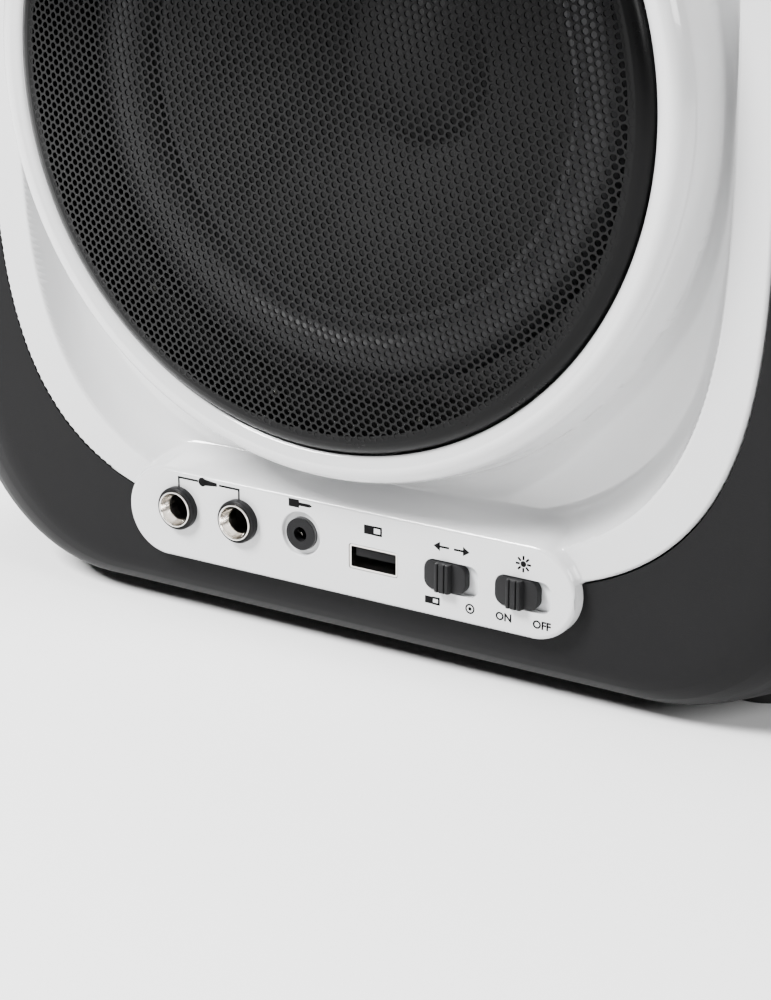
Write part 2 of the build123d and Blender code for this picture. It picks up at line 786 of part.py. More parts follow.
def speaker_cone():
    """Cone with its dust cap and coil former."""
    front = driver_face()
    cone = turned([(surround_inner, front - 1), (surround_inner, front), (coil_radius, front + cone_back),
                   (coil_radius, front + basket_back - 4), (coil_radius - 1, front + basket_back - 4),
                   (coil_radius - 1, front + cone_back - 2), (surround_inner - 2, front - 1)])
    apex = front + cone_back - cap_proud
    rim = cap_radius + cap_sheet
    cap = cap_arc(apex, cap_radius, front + cone_back - 5.2)
    inner = cap_arc(apex + cap_sheet, rim, front + cone_back - 4.1)
    edges = [cap, Line(cap @ 1, inner @ 1), inner, Line(inner @ 0, cap @ 0)]
    return cone + revolve(make_face(edges), speaker_axis)


def speaker_surround():
    """Rubber half roll between the cone's edge and the basket."""
    front = driver_face()
    middle = (surround_inner + surround_outer) / 2
    roll = (surround_outer - surround_inner) / 2 - 2
    outer = ThreePointArc((middle - roll, front - 1, speaker_z), (middle, front - 1 - roll, speaker_z),
                          (middle + roll, front - 1, speaker_z))
    inner = ThreePointArc((middle + roll - 1, front, speaker_z), (middle, front - roll, speaker_z),
                          (middle - roll + 1, front, speaker_z))
    right = Polyline((middle + roll, front - 1, speaker_z), (surround_outer + 2, front - 1, speaker_z),
                     (surround_outer + 2, front, speaker_z), (middle + roll - 1, front, speaker_z))
    left = Polyline((middle - roll + 1, front, speaker_z), (surround_inner, front, speaker_z),
                    (surround_inner, front - 1, speaker_z), (middle - roll, front - 1, speaker_z))
    return revolve(make_face(outer + right + inner + left), speaker_axis)


# ---- gears ---------------------------------------------------------------------------------------------------------
def gear_outline(module, teeth, turn=0.0):
    """An involute gear outline as a face, with a tooth centred on the angle turn, in degrees."""
    pitch = module * teeth / 2
    base = pitch * math.cos(math.radians(pressure_angle))
    root = pitch - dedendum * module
    tip = pitch + addendum * module

    def involute(angle):
        return math.tan(angle) - angle

    def half_width(radius):
        roll = involute(math.acos(min(base / radius, 1)))
        return math.pi / (2 * teeth) - tooth_backlash / (4 * pitch) + involute(math.radians(pressure_angle)) - roll

    radii = [root, max(base, root + 0.1), pitch, (pitch + tip) / 2, tip]
    points = []
    for tooth in range(teeth):
        middle = math.radians(turn) + 2 * math.pi * tooth / teeth
        for radius in radii:
            angle = middle - half_width(max(radius, base))
            points.append((radius * math.cos(angle), radius * math.sin(angle)))
        for radius in reversed(radii):
            angle = middle + half_width(max(radius, base))
            points.append((radius * math.cos(angle), radius * math.sin(angle)))
    return make_face(Polyline(*points, close=True))


def gear(module, teeth, z_low, z_high, turn=0.0):
    """A solid gear between two heights, about the Z axis."""
    return Pos(0, 0, z_low) * extrude(gear_outline(module, teeth, turn), z_high - z_low)


def rack():
    """The tray's rack, with a gap facing the pinion when the tray is shut."""
    pitch = math.pi * rack_module
    lean = math.tan(math.radians(pressure_angle))
    tip_x = rack_pitch_x - addendum * rack_module
    root_x = rack_pitch_x + dedendum * rack_module
    half_tip = pitch / 4 - addendum * rack_module * lean - tooth_backlash / 4
    half_root = pitch / 4 + dedendum * rack_module * lean - tooth_backlash / 4
    front = pinion_y - 1.5 * pitch
    back = tray_front_y + tray_length
    count = int((back - front) / pitch)
    points = [(rack_back_x, front), (root_x, front)]
    for tooth in range(count):
        middle = pinion_y + (tooth - 0.5) * pitch
        points += [(root_x, middle - half_root), (tip_x, middle - half_tip),
                   (tip_x, middle + half_tip), (root_x, middle + half_root)]
    points += [(root_x, back), (rack_back_x, back)]
    teeth = make_face(Polyline(*points, close=True))
    return Pos(0, 0, rack_low) * extrude(teeth, tray_bottom - rack_low)


def drive_gear():
    """Large gear with the tray's pinion on top of it."""
    body = gear(train_module, drive_teeth, gear_low, gear_high) + gear(
        rack_module, pinion_teeth, gear_high, pinion_high)
    body -= Pos(0, 0, (gear_low + pinion_high) / 2) * Cylinder(axle_radius + bore_gap, 30)
    return Pos(pinion_x, pinion_y, 0) * body


def pulley(radius):
    """A belt pulley with two rims, about the Z axis."""
    rim = 0.8
    drum = post(0, 0, pulley_low, pulley_high, radius)
    for low in (pulley_low, pulley_high - rim):
        drum += post(0, 0, low, low + rim, radius + pulley_flange)
    return drum


def belt_gear():
    """Belt pulley with the small gear above it."""
    body = pulley(pulley_radius) + post(0, 0, pulley_high, gear_low, 4.5)
    body += gear(train_module, idler_teeth, gear_low, gear_high, 180.0 / idler_teeth)
    body -= Pos(0, 0, (pulley_low + gear_high) / 2) * Cylinder(axle_radius + bore_gap, 30)
    return Pos(idler_x, pinion_y, 0) * body


def motor_pulley():
    body = pulley(motor_pulley_radius) - post(0, 0, pulley_low - 1, pulley_high + 1, 1.0 + bore_gap)
    return Pos(motor_x, pinion_y, 0) * body


def drive_belt():
    """Flat belt round the two pulleys."""
    def loop(grow):
        big = Pos(idler_x, pinion_y) * Circle(pulley_radius + grow)
        small = Pos(motor_x, pinion_y) * Circle(motor_pulley_radius + grow)
        return make_hull(big.edges() + small.edges())

    band = loop(0.1 + belt_thick) - loop(0.1)
    return Pos(0, 0, belt_low) * extrude(band, belt_high - belt_low)


def loading_motor():
    low = chassis_floor - chassis_thick - 14
    body = post(motor_x, pinion_y, low, chassis_floor - chassis_thick, 10.0)
    body += post(motor_x, pinion_y, chassis_floor - chassis_thick, chassis_floor, 3.0)
    return body + post(motor_x, pinion_y, chassis_floor, pulley_high + 0.5, 1.0)


# ---- tray -------------------------------------------------------------------------------------------------------------
def disc_tray():
    back = tray_front_y + tray_length
    body = block((-tray_half_width, tray_half_width), (tray_front_y, back), (tray_bottom, tray_top))
    body = fillet(body.edges().filter_by(Axis.Z).sort_by(Axis.Y)[-2:], 6.0)
    body -= post(0, hub_y, well_floor, tray_top + 1, disc_radius + disc_clear)
    body -= post(0, hub_y, small_floor, tray_top + 1, small_disc_radius + disc_clear)
    slot = block((-tray_slot_half, tray_slot_half), (hub_y, back + 1), (tray_bottom - 1, tray_top + 1))
    body -= slot + post(0, hub_y, tray_bottom - 1, tray_top + 1, tray_slot_half)
    for side in (-1, 1):
        ends = sorted((side * (tray_half_width - 1), side * (tray_half_width + rib_reach)))
        body += block(ends, (face_y + wall + 2, back - 8), (rib_low, rib_high))
    return body + rack()


def tray_front():
    plate = prism_y(stadium(tray_front_width, tray_front_height), 0, tray_front_z, strip_y, tray_front_y)
    return fillet(plate.faces().sort_by(Axis.Y)[0].edges(), strip_edge)


# ---- drive chassis and optical deck ---------------------------------------------------------------------------------------
def drive_chassis():
    """Floor, side walls with guide channels, gear posts and deck ears."""
    outer = chassis_half + chassis_wall
    low = chassis_floor - chassis_thick
    body = block((-outer, outer), (chassis_front, chassis_back), (low, chassis_floor))
    opening = block((-deck_half - 2, deck_half + 2), (deck_front - 2, deck_back + 4), (low - 1, chassis_floor + 1))
    body -= fillet(opening.edges().filter_by(Axis.Z), 3.0)
    for side in (-1, 1):
        body += block(sorted((side * chassis_half, side * outer)), (chassis_front, chassis_back),
                      (low, chassis_top))
        rail = sorted((side * (tray_half_width + 1), side * (chassis_half + 1)))
        body += block(rail, (chassis_front, chassis_back), (rib_low - run_gap - 3, rib_low - run_gap))
        body += block(rail, (chassis_front, chassis_back), (rib_high + run_gap, rib_high + run_gap + 3))
        for y in ear_y:
            ear = block(sorted((side * (outer - 1), side * (outer + ear_reach))), (y - 6, y + 6),
                        (chassis_top - 3, chassis_top))
            body += ear
        deck_ear = sorted((side * (deck_half + 0.5), side * (deck_half + 4.5)))
        ear = block(deck_ear, (deck_back - 5, deck_back + 5), (low, deck_pivot_z + 4))
        body += ear - pin_x(deck_back, deck_pivot_z, deck_ear[0] - 1, deck_ear[1] + 1, deck_pin_radius + bore_gap)
    body += post(pinion_x, pinion_y, low, gear_low - 0.2, 5.0)
    body += post(pinion_x, pinion_y, low, pinion_high - 0.2, axle_radius)
    body += post(idler_x, pinion_y, low, pulley_low - 0.2, 5.0)
    body += post(idler_x, pinion_y, low, gear_high + 1.0, axle_radius)
    return body - post(motor_x, pinion_y, low - 1, chassis_floor + 1, 3.0)


def clamp_bridge():
    outer = chassis_half + chassis_wall
    plate = block((-outer, outer), (hub_y - bridge_depth / 2, hub_y + bridge_depth / 2),
                  (chassis_top, chassis_top + bridge_thick))
    plate = fillet(plate.edges().filter_by(Axis.Z), 6.0)
    return plate - post(0, hub_y, chassis_top - 1, chassis_top + bridge_thick + 1, puck_neck + 0.7)


def clamp_puck():
    """Disc clamp that hangs in the bridge over the turntable."""
    top = chassis_top + bridge_thick + run_gap
    body = post(0, hub_y, hub_top + run_gap, hub_top + run_gap + 3, puck_radius)
    body += post(0, hub_y, hub_top + run_gap, top, puck_neck)
    return body + post(0, hub_y, top, top + 1.5, puck_radius - 2)


def deck_frame():
    """Tilting frame under the tray that carries the spindle and the optics."""
    low, high = deck_plate
    body = block((-deck_half, deck_half), (deck_front, deck_back + 4), (low, high))
    body = fillet(body.edges().filter_by(Axis.Z), 3.0)
    window = block((-sled_half, sled_half), (hub_y + 15, deck_back - 8), (low - 1, high + 1))
    body -= fillet(window.edges().filter_by(Axis.Z), 2.0)
    for x in (-rod_x, rod_x):
        for y in rod_ends():
            body += block((x - 3.5, x + 3.5), (y - 1.5, y + 1.5), (high - 1, rod_z + 3))
            body -= pin_y(x, rod_z, y - 2.5, y + 2.5, rod_radius + (bore_gap if x > 0 else 0))
    body -= block((rod_x - 5, rod_x + 5), (deck_front + 0.8, rod_ends()[0] - 1.5), (high - 1.5, high + 1))
    body -= post(0, hub_y, low - 1, high + 1, 3.5)
    for side in (-1, 1):
        body += pin_x(deck_back, deck_pivot_z, *sorted((side * (deck_half - 5), side * (deck_half + 4.5))),
                      deck_pin_radius)
        body += block(sorted((side * (deck_half - 6), side * deck_half)), (deck_back - 3, deck_back + 3),
                      (deck_pivot_z - 3, high))
    return body


def rod_ends():
    """Where the two blocks that hold the rods stand."""
    return (hub_y + 5.5, deck_back - 4)


def guide_rod():
    front, back = rod_ends()
    return pin_y(-rod_x, rod_z, front - 1.5, back + 1.5, rod_radius)


def lead_screw():
    front, back = rod_ends()
    return pin_y(rod_x, rod_z, front - 1.5, back + 1.5, rod_radius)


def sled_motor():
    front = rod_ends()[0] - 1.5
    return pin_y(rod_x, rod_z, deck_front + 1, front, 4.2)


def laser_sled():
    """Optics block with an arm to the rod and one to the screw."""
    middle = hub_y + sled_start
    front, back = middle - sled_length / 2, middle + sled_length / 2
    body = block((-sled_half, sled_half), (front, back), (deck_plate[1] + 1, sled_top))
    body = fillet(body.edges().filter_by(Axis.Z), 3.0)
    for x, long in ((-rod_x, sled_length), (rod_x, 8.0)):
        arm = block(sorted((x - math.copysign(10, x), x + math.copysign(3, x))),
                    (middle - long / 2, middle + long / 2), (rod_z - 2.5, rod_z + 2.5))
        body += arm
        body -= pin_y(x, rod_z, front - 1, back + 1, rod_radius + bore_gap)
    body -= post(0, middle, lens_low, sled_top + 1, 4.0)
    return body


def sled_lens():
    middle = hub_y + sled_start
    return post(0, middle, lens_low, lens_top, 3.0)


def spindle_motor():
    low, high = deck_plate
    body = post(0, hub_y, low - 9, low, spindle_motor_radius) + post(0, hub_y, low, high + 2.2, 3.5)
    return body - post(0, hub_y, low - 8, high + 3, spindle_radius + bore_gap)


def turntable():
    low, high = deck_plate
    body = post(0, hub_y, table_top - 3, table_top, table_radius)
    body += post(0, hub_y, table_top, table_top + 1.9, hub_radius)
    nose = Cone(hub_radius, hub_radius - 2, hub_top - table_top - 1.9)
    body += Pos(0, hub_y, (table_top + 1.9 + hub_top) / 2) * nose
    body += post(0, hub_y, high + 2.5, table_top - 3, 5.0)
    return body + post(0, hub_y, low - 7.5, high + 2.5, spindle_radius)


# ---- control panel pieces ---------------------------------------------------------------------------------------------------
def display_pocket():
    """Pocket for the display window, in the panel's own plane."""
    plate = Pos(0, display_up, -display_thick / 2) * Box(*display_size, display_thick)
    return fillet(plate.edges().filter_by(Axis.Z), 3.0)


def display_window():
    return panel_plane * display_pocket()


def button_place(name):
    """Middle of a button on the panel's own plane."""
    count = len(button_names)
    return ((button_names.index(name) - (count - 1) / 2) * button_pitch, -button_down)


def push_button(name):
    """A round push button with a flange under the panel."""
    cap = Pos(0, 0, (button_proud - panel_thick) / 2) * Cylinder(button_radius, button_proud + panel_thick)
    cap = fillet(cap.edges().sort_by(Axis.Z)[-1], 1.0)
    flange_top = -panel_thick - button_gap
    flange = Pos(0, 0, flange_top - 0.75) * Cylinder(button_radius + 1.5, 1.5)
    neck = Pos(0, 0, -panel_thick - 0.5) * Cylinder(button_radius - 0.5, 1.5)
    stem_low = -panel_board_drop + 2.0 + button_travel + 0.2
    stem = Pos(0, 0, (flange_top - 1 + stem_low) / 2) * Cylinder(2.0, flange_top - 1 - stem_low)
    return panel_plane * Pos(*button_place(name)) * (cap + neck + flange + stem)


def control_knob(name):
    """A rotary knob with a fluted skirt, a pointer groove and its shaft."""
    body = Pos(0, 0, 0.6 + knob_height / 2) * Cylinder(knob_radius, knob_height)
    body = fillet(body.edges().sort_by(Axis.Z)[-1], 1.5)
    flutes = 16
    for step in range(flutes):
        angle = math.radians(360 * (step + 0.5) / flutes)
        spot = (1.06 * knob_radius * math.cos(angle), 1.06 * knob_radius * math.sin(angle), knob_height / 2)
        body -= Pos(*spot) * Cylinder(1.6, knob_height - 5)
    body -= Pos(0, knob_radius - 3.5, knob_height + 0.6) * Box(1.2, 6, 1.6)
    shaft = Pos(0, 0, -3.2) * Cylinder(knob_shaft, 8.6)
    return panel_plane * Pos(*knob_places[name]) * (body + shaft)


def knob_pots():
    """Potentiometers under the panel, each with a bush that the shaft turns in."""
    pots = []
    for place in knob_places.values():
        pot = Pos(0, 0, -panel_thick - 4) * Cylinder(pot_radius, 8)
        pot += Pos(0, 0, -panel_thick / 2) * Cylinder(knob_shaft + 2.0, panel_thick)
        pot -= Pos(0, 0, -3.2) * Cylinder(knob_shaft + bore_gap, 9.2)
        pots.append(panel_plane * Pos(*place) * pot)
    return pots


def panel_circuit():
    """Board under the panel with the button switches and the display block."""
    board = Pos(0, 0, -panel_board_drop) * Box(panel_board_length, panel_board_up, board_thick)
    for name in button_names:
        board += Pos(*button_place(name), -panel_board_drop + 1.4) * Box(5, 5, 1.2)
    rise = panel_board_drop - panel_thick
    board += Pos(0, display_up, -panel_thick - rise / 2) * Box(display_size[0] - 8, display_size[1] - 10, rise)
    return panel_plane * board


# ---- carry handle ------------------------------------------------------------------------------------------------------------
def carry_handle():
    """A bail that lies in its recess and swings up on two stub pins."""
    width, height = handle_section
    low = handle_pivot_z - height / 2
    bar = block((-handle_half, handle_half), (handle_front - width / 2, handle_front + width / 2),
                (low, low + height))
    for side in (-1, 1):
        bar += block(sorted((side * (handle_half - 9), side * handle_half)),
                     (handle_front, handle_pivot_y), (low, low + height))
        bar += pin_x(handle_pivot_y, handle_pivot_z, *sorted((side * (handle_half - 9), side * handle_half)),
                     height / 2)
    bar = fillet(bar.edges().filter_by(Axis.Z).sort_by(Axis.Y)[:2], 5.0)
    for side in (-1, 1):
        bar += pin_x(handle_pivot_y, handle_pivot_z, *sorted((side * (handle_half - 1), side * (recess_half + 2.8))),
                     handle_pin_radius)
    return bar


def handle_grip():
    """Rubber sleeve round the middle of the bail."""
    width, height = handle_section
    low = handle_pivot_z - height / 2
    sleeve = block((-pocket_half + 4, pocket_half - 4),
                   (handle_front - width / 2 - 1.2, handle_front + width / 2 + 1.2), (low - 1.2, low + height + 0.9))
    sleeve = fillet(sleeve.edges().filter_by(Axis.X), 3.0)
    return sleeve - block((-pocket_half, pocket_half), (handle_front - width / 2, handle_front + width / 2),
                          (low, low + height))


# ---- rear pieces ----------------------------------------------------------------------------------------------------------------
def jack_plate():
    x_low, x_high = jack_recess_x
    z_low, z_high = jack_recess_z
    front = back_y - jack_recess_depth
    plate = block((x_low - wall, x_high + wall), (front - 2, front), (z_low - wall, z_high + wall))
    for x in phono_x:
        plate -= pin_y(x, rear_jack_z, front - 3, front + 1, phono_neck)
    return plate - pin_y(inlet_x, rear_jack_z, front - 3, front + 1, 5.5)


def phono_jacks():
    front = back_y - jack_recess_depth
    jacks = []
    for x in phono_x:
        jack = pin_y(x, rear_jack_z, front, front + phono_length, phono_radius)
        jack += pin_y(x, rear_jack_z, front - 2, front, phono_neck)
        jack += pin_y(x, rear_jack_z, front - 14, front - 2, phono_radius + 1)
        jacks.append(jack - pin_y(x, rear_jack_z, front, front + phono_length + 1, 1.7))
    return jacks


def power_inlet():
    front = back_y - jack_recess_depth
    body = pin_y(inlet_x, rear_jack_z, front - 12, front + 1.5, 5.5)
    body -= pin_y(inlet_x, rear_jack_z, front + 1.5 - inlet_length, front + 2, inlet_bore)
    return body + pin_y(inlet_x, rear_jack_z, front + 1 - inlet_length, front, 1.0)


def main_board():
    """Amplifier and power board with its heat sink and two tall capacitors."""
    low = inner_floor + main_board_post
    half_x, half_y = main_board_size[0] / 2, main_board_size[1] / 2
    board = block((-half_x, half_x), (main_board_y - half_y, main_board_y + half_y), (low, low + board_thick))
    for fin in range(7):
        x = 20 + fin * 6
        board += block((x, x + 2), (main_board_y - 25, main_board_y - 5), (low + board_thick, low + 26))
    board += block((20, 58), (main_board_y - 25, main_board_y - 5), (low + board_thick, low + 5))
    for x in (-30, -52):
        board += post(x, main_board_y + 12, low + board_thick, low + 28, 8.0)
    return board


def build_parts():
    """Every node of the machine by name."""
    nodes = {
        "front_shell": front_shell(),
        "rear_shell": rear_shell(),
        "control_panel": control_panel(),
        "front_bezel": front_bezel(),
        "feet": feet(),
        "case_screws": case_screws(),
        "mic_jack_nuts": mic_jack_nuts(),
        "mic_jack_rings": mic_jack_rings(),
        "mic_jack_bodies": mic_jack_bodies(),
        "aux_jack": aux_jack(),
        "usb_shell": usb_shell(),
        "usb_tongue": usb_tongue(),
        "slide_switches": slide_switches(),
        "function_slide": slide_button(switch_x[0]),
        "light_slide": slide_button(switch_x[1]),
        "input_board": input_board(),
        "speaker_grille": speaker_grille(),
        "retaining_ring": retaining_ring(),
        "light_board": light_board(),
        "speaker_basket": speaker_basket(),
        "speaker_magnet": speaker_magnet(),
        "speaker_cone": speaker_cone(),
        "speaker_surround": speaker_surround(),
        "drive_chassis": drive_chassis(),
        "disc_tray": disc_tray(),
        "tray_front": tray_front(),
        "drive_gear": drive_gear(),
        "belt_gear": belt_gear(),
        "motor_pulley": motor_pulley(),
        "drive_belt": drive_belt(),
        "loading_motor": loading_motor(),
        "deck_frame": deck_frame(),
        "spindle_motor": spindle_motor(),
        "turntable": turntable(),
        "guide_rod": guide_rod(),
        "lead_screw": lead_screw(),
        "sled_motor": sled_motor(),
        "laser_sled": laser_sled(),
        "sled_lens": sled_lens(),
        "clamp_bridge": clamp_bridge(),
        "clamp_puck": clamp_puck(),
        "display_window": display_window(),
        "panel_circuit": panel_circuit(),
        "knob_pots": knob_pots(),
        "carry_handle": carry_handle(),
        "handle_grip": handle_grip(),
        "jack_plate": jack_plate(),
        "phono_jacks": phono_jacks(),
        "power_inlet": power_inlet(),
        "main_board": main_board(),
    }
    for name in button_names:
        nodes[name + "_button"] = push_button(name)
    for name in knob_places:
        nodes[name + "_knob"] = control_knob(name)
    return nodes


def export_parts(nodes):
    """Writes one STEP file for each node."""
    os.makedirs("parts", exist_ok=True)
    for name, shape in nodes.items():
        solids = shape if isinstance(shape, list) else [shape]
        compound = Compound(children=[solid for item in solids for solid in item.solids()])
        export_step(compound, f"parts/{name}.step")


export_parts(build_parts())
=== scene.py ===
"""Dresses the karaoke machine: smooth case, white bezel, perforated grille, sockets, controls and finishes."""
import json
import logging
import math
from collections.abc import Callable, Iterable, Sequence
from dataclasses import dataclass, field
from enum import Enum, StrEnum

import bmesh
import bpy
import numpy as np
from mathutils import Matrix, Vector
from mathutils.geometry import delaunay_2d_cdt

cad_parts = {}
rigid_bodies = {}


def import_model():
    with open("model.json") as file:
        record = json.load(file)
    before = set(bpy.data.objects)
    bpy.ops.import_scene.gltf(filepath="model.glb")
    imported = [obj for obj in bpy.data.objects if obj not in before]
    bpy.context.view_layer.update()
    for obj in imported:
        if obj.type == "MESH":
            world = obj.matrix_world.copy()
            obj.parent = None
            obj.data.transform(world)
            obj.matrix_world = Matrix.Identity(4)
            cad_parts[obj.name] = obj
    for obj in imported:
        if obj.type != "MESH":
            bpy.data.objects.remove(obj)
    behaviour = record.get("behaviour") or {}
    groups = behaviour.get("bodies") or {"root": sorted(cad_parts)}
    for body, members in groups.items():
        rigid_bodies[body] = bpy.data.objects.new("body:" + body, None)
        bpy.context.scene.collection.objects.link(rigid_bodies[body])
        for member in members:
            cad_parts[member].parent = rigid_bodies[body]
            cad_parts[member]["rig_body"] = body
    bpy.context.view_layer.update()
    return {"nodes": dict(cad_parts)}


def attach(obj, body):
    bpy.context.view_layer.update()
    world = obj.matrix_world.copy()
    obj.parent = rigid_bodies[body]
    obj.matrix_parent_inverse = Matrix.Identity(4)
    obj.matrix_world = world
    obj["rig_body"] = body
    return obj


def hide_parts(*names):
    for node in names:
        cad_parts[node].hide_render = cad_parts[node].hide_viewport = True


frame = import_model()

LOG = logging.getLogger("dress")
MM = 0.001
TAU = 2 * math.pi
SHARP = 32.0  # degrees between faces from which an edge stays sharp
BEVEL_LIMIT = 38.0  # degrees between faces from which an edge gets a bevel
FLAT_LIMIT = 0.4  # degrees between faces under which a node's faces are joined
NODE_MERGE = 0.004  # millimetres under which a node's vertices are merged
FORM_MERGE = 0.002  # millimetres under which a drawn form's vertices are merged
Points = np.ndarray
Socket = bpy.types.NodeSocket
Piece = bpy.types.Object
Pair = tuple[float, float]
Triple = tuple[float, float, float]
Row = tuple[float, ...]
Profile = tuple[Pair, ...]


# ---------------------------------------------------------------- node trees

class Side(Enum):
    """Direction of a node group's socket."""

    IN = "INPUT"
    OUT = "OUTPUT"


def operator(operation: str, swapped: bool = False) -> Callable[..., "Value"]:
    """Makes a method of Value that adds one Math node.

    Args:
        operation: Name of the Math node's operation.
        swapped: Puts the other operand first.

    Returns:
        The method.
    """
    def apply(self: "Value", *other: "Value | float") -> "Value":
        """Adds the node and wraps its result."""
        values = (*other, self) if swapped else (self, *other)
        return self.bench.value("ShaderNodeMath", {"operation": operation}, dict(enumerate(values)))
    return apply


class Value:
    """A number socket that can be used in Python arithmetic."""

    __add__, __radd__ = operator("ADD"), operator("ADD", True)
    __sub__, __rsub__ = operator("SUBTRACT"), operator("SUBTRACT", True)
    __mul__, __rmul__ = operator("MULTIPLY"), operator("MULTIPLY", True)
    __truediv__, __pow__ = operator("DIVIDE"), operator("POWER")
    above, root, wave = operator("GREATER_THAN"), operator("SQRT"), operator("SINE")

    def __init__(self, bench: "Bench", socket: Socket) -> None:
        """Keeps the socket and the bench its maths nodes are added to."""
        self.bench = bench
        self.socket = socket

    def remap(self, low: float, high: float, to_low: float, to_high: float) -> "Value":
        """Linear change of range, held at its ends.

        Args:
            low: Input that gives to_low.
            high: Input that gives to_high.
            to_low: First end of the new range.
            to_high: Other end of the new range.

        Returns:
            The remapped value.
        """
        return self.bench.value("ShaderNodeMapRange", {"clamp": True},
                                {0: self, 1: low, 2: high, 3: to_low, 4: to_high})


class Bench:
    """Adds nodes to one node tree."""

    def __init__(self, tree: bpy.types.NodeTree) -> None:
        """Keeps the tree."""
        self.tree = tree

    def node(self, kind: str, settings: dict | None = None, inputs: dict | None = None) -> bpy.types.Node:
        """Makes a node.

        Args:
            kind: The node's type name.
            settings: Properties of the node, which are set first.
            inputs: Values, sockets or Value objects by socket name or number.

        Returns:
            The new node.
        """
        node = self.tree.nodes.new(kind)
        for name, setting in (settings or {}).items():
            setattr(node, name, setting)
        for key, given in (inputs or {}).items():
            socket = node.inputs[key]
            source = given.socket if isinstance(given, Value) else given
            if isinstance(source, Socket):
                self.tree.links.new(source, socket)
            else:
                socket.default_value = source
        return node

    def value(self, kind: str, settings: dict, inputs: dict, output: int | str = 0) -> Value:
        """Makes a node and wraps one of its outputs as a number."""
        return Value(self, self.node(kind, settings, inputs).outputs[output])

    def ramp(self, factor: Value, stops: Sequence[tuple[float, Triple]]) -> Socket:
        """A colour ramp.

        Args:
            factor: Position on the ramp.
            stops: Position and colour of each stop.

        Returns:
            The colour socket.
        """
        node = self.node("ShaderNodeValToRGB", {}, {0: factor})
        elements = node.color_ramp.elements
        while len(elements) < len(stops):
            elements.new(0.5)
        for element, (position, colour) in zip(elements, stops):
            element.position = position
            element.color = (*colour, 1.0)
        return node.outputs[0]


# ---------------------------------------------------------------- finishes

@dataclass(frozen=True)
class Finish:
    """A moulded or painted surface: two close tones, a grain that is felt, and a slow variation.

    Attributes hold the linear colour, how far its tone wanders, the roughness and its spread, the grain's
    size and height in millimetres, and the shader's metal, coat and sheen numbers.
    """

    name: str
    colour: Triple
    tone: float = 0.08
    roughness: float = 0.5
    spread: float = 0.06
    grain: float = 0.5
    height: float = 0.01
    metallic: float = 0.0
    coat: float = 0.0
    coat_roughness: float = 0.05
    stretch: Triple = (1.0, 1.0, 1.0)
    specular: float = 0.5

    def material(self) -> bpy.types.Material:
        """The finish as a material, made once."""
        found = bpy.data.materials.get(self.name)
        if found:
            return found
        material = bpy.data.materials.new(self.name)
        material.use_nodes = True
        material.node_tree.nodes.clear()
        bench = Bench(material.node_tree)
        shader = self.surface(bench)
        bench.node("ShaderNodeOutputMaterial", {}, {"Surface": shader})
        return material

    def place(self, bench: Bench, scale: Triple | None = None) -> Socket:
        """Object coordinates in millimetres, stretched as the grain is.

        Args:
            bench: Where the nodes go.
            scale: Stretch for each axis, the finish's own if left out.

        Returns:
            The vector socket.
        """
        coordinate = bench.node("ShaderNodeTexCoord").outputs["Object"]
        stretch = scale or self.stretch
        sizes = tuple(part / MM for part in stretch)
        return bench.node("ShaderNodeMapping", {}, {"Vector": coordinate, "Scale": sizes}).outputs[0]

    def noise(self, bench: Bench, size: float, detail: float = 2.0) -> Value:
        """Soft noise with a feature size in millimetres."""
        return bench.value("ShaderNodeTexNoise", {}, {"Vector": self.place(bench), "Scale": 1 / size,
                                                      "Detail": detail, "Roughness": 0.55})

    def grain_height(self, bench: Bench) -> Value:
        """Height pattern of the surface's grain."""
        return self.noise(bench, self.grain, 3.0)

    def base(self, bench: Bench) -> Socket:
        """Base colour with its slow wander and a trace of the grain."""
        slow = self.noise(bench, 34.0, 3.0)
        fine = self.noise(bench, self.grain * 1.6, 1.0)
        mixed = slow * 0.7 + fine * 0.3
        dark = tuple(part * (1 - self.tone) for part in self.colour)
        light = tuple(min(part * (1 + self.tone), 1.0) for part in self.colour)
        return bench.ramp(mixed, [(0.3, dark), (0.7, light)])

    def surface(self, bench: Bench) -> Socket:
        """The shader.

        Args:
            bench: Where the nodes go.

        Returns:
            The shader socket.
        """
        grain = self.grain_height(bench)
        rough = self.noise(bench, 11.0, 4.0).remap(0.3, 0.7, self.roughness - self.spread,
                                                   self.roughness + self.spread)
        bump = bench.node("ShaderNodeBump", {}, {"Strength": 1.0, "Distance": self.height * MM, "Height": grain})
        return bench.node("ShaderNodeBsdfPrincipled", {}, {
            "Base Color": self.base(bench), "Roughness": rough, "Metallic": self.metallic,
            "Coat Weight": self.coat, "Coat Roughness": self.coat_roughness,
            "Specular IOR Level": self.specular, "Normal": bump.outputs[0]}).outputs[0]


@dataclass(frozen=True)
class Sparked(Finish):
    """Plastic from an eroded mould: small round pips over a fine grain."""

    pip: float = 0.42

    def grain_height(self, bench: Bench) -> Value:
        """Pips from a cell pattern added to the grain."""
        cells = bench.value("ShaderNodeTexVoronoi", {"feature": "SMOOTH_F1"},
                            {"Vector": self.place(bench), "Scale": 1 / self.pip, "Smoothness": 0.6})
        return (1 - cells) * 0.6 + self.noise(bench, self.grain, 3.0) * 0.6


@dataclass(frozen=True)
class Machined(Finish):
    """Metal turned about an axis along Y: fine tool lines that follow one another along it."""

    line: float = 0.25

    def grain_height(self, bench: Bench) -> Value:
        """Tool lines over a soft noise."""
        coordinate = bench.node("ShaderNodeTexCoord").outputs["Object"]
        parts = bench.node("ShaderNodeSeparateXYZ", {}, {0: coordinate})
        along = Value(bench, parts.outputs[1])
        return (along * (TAU / (self.line * MM))).wave() * 0.4 + self.noise(bench, 0.8)


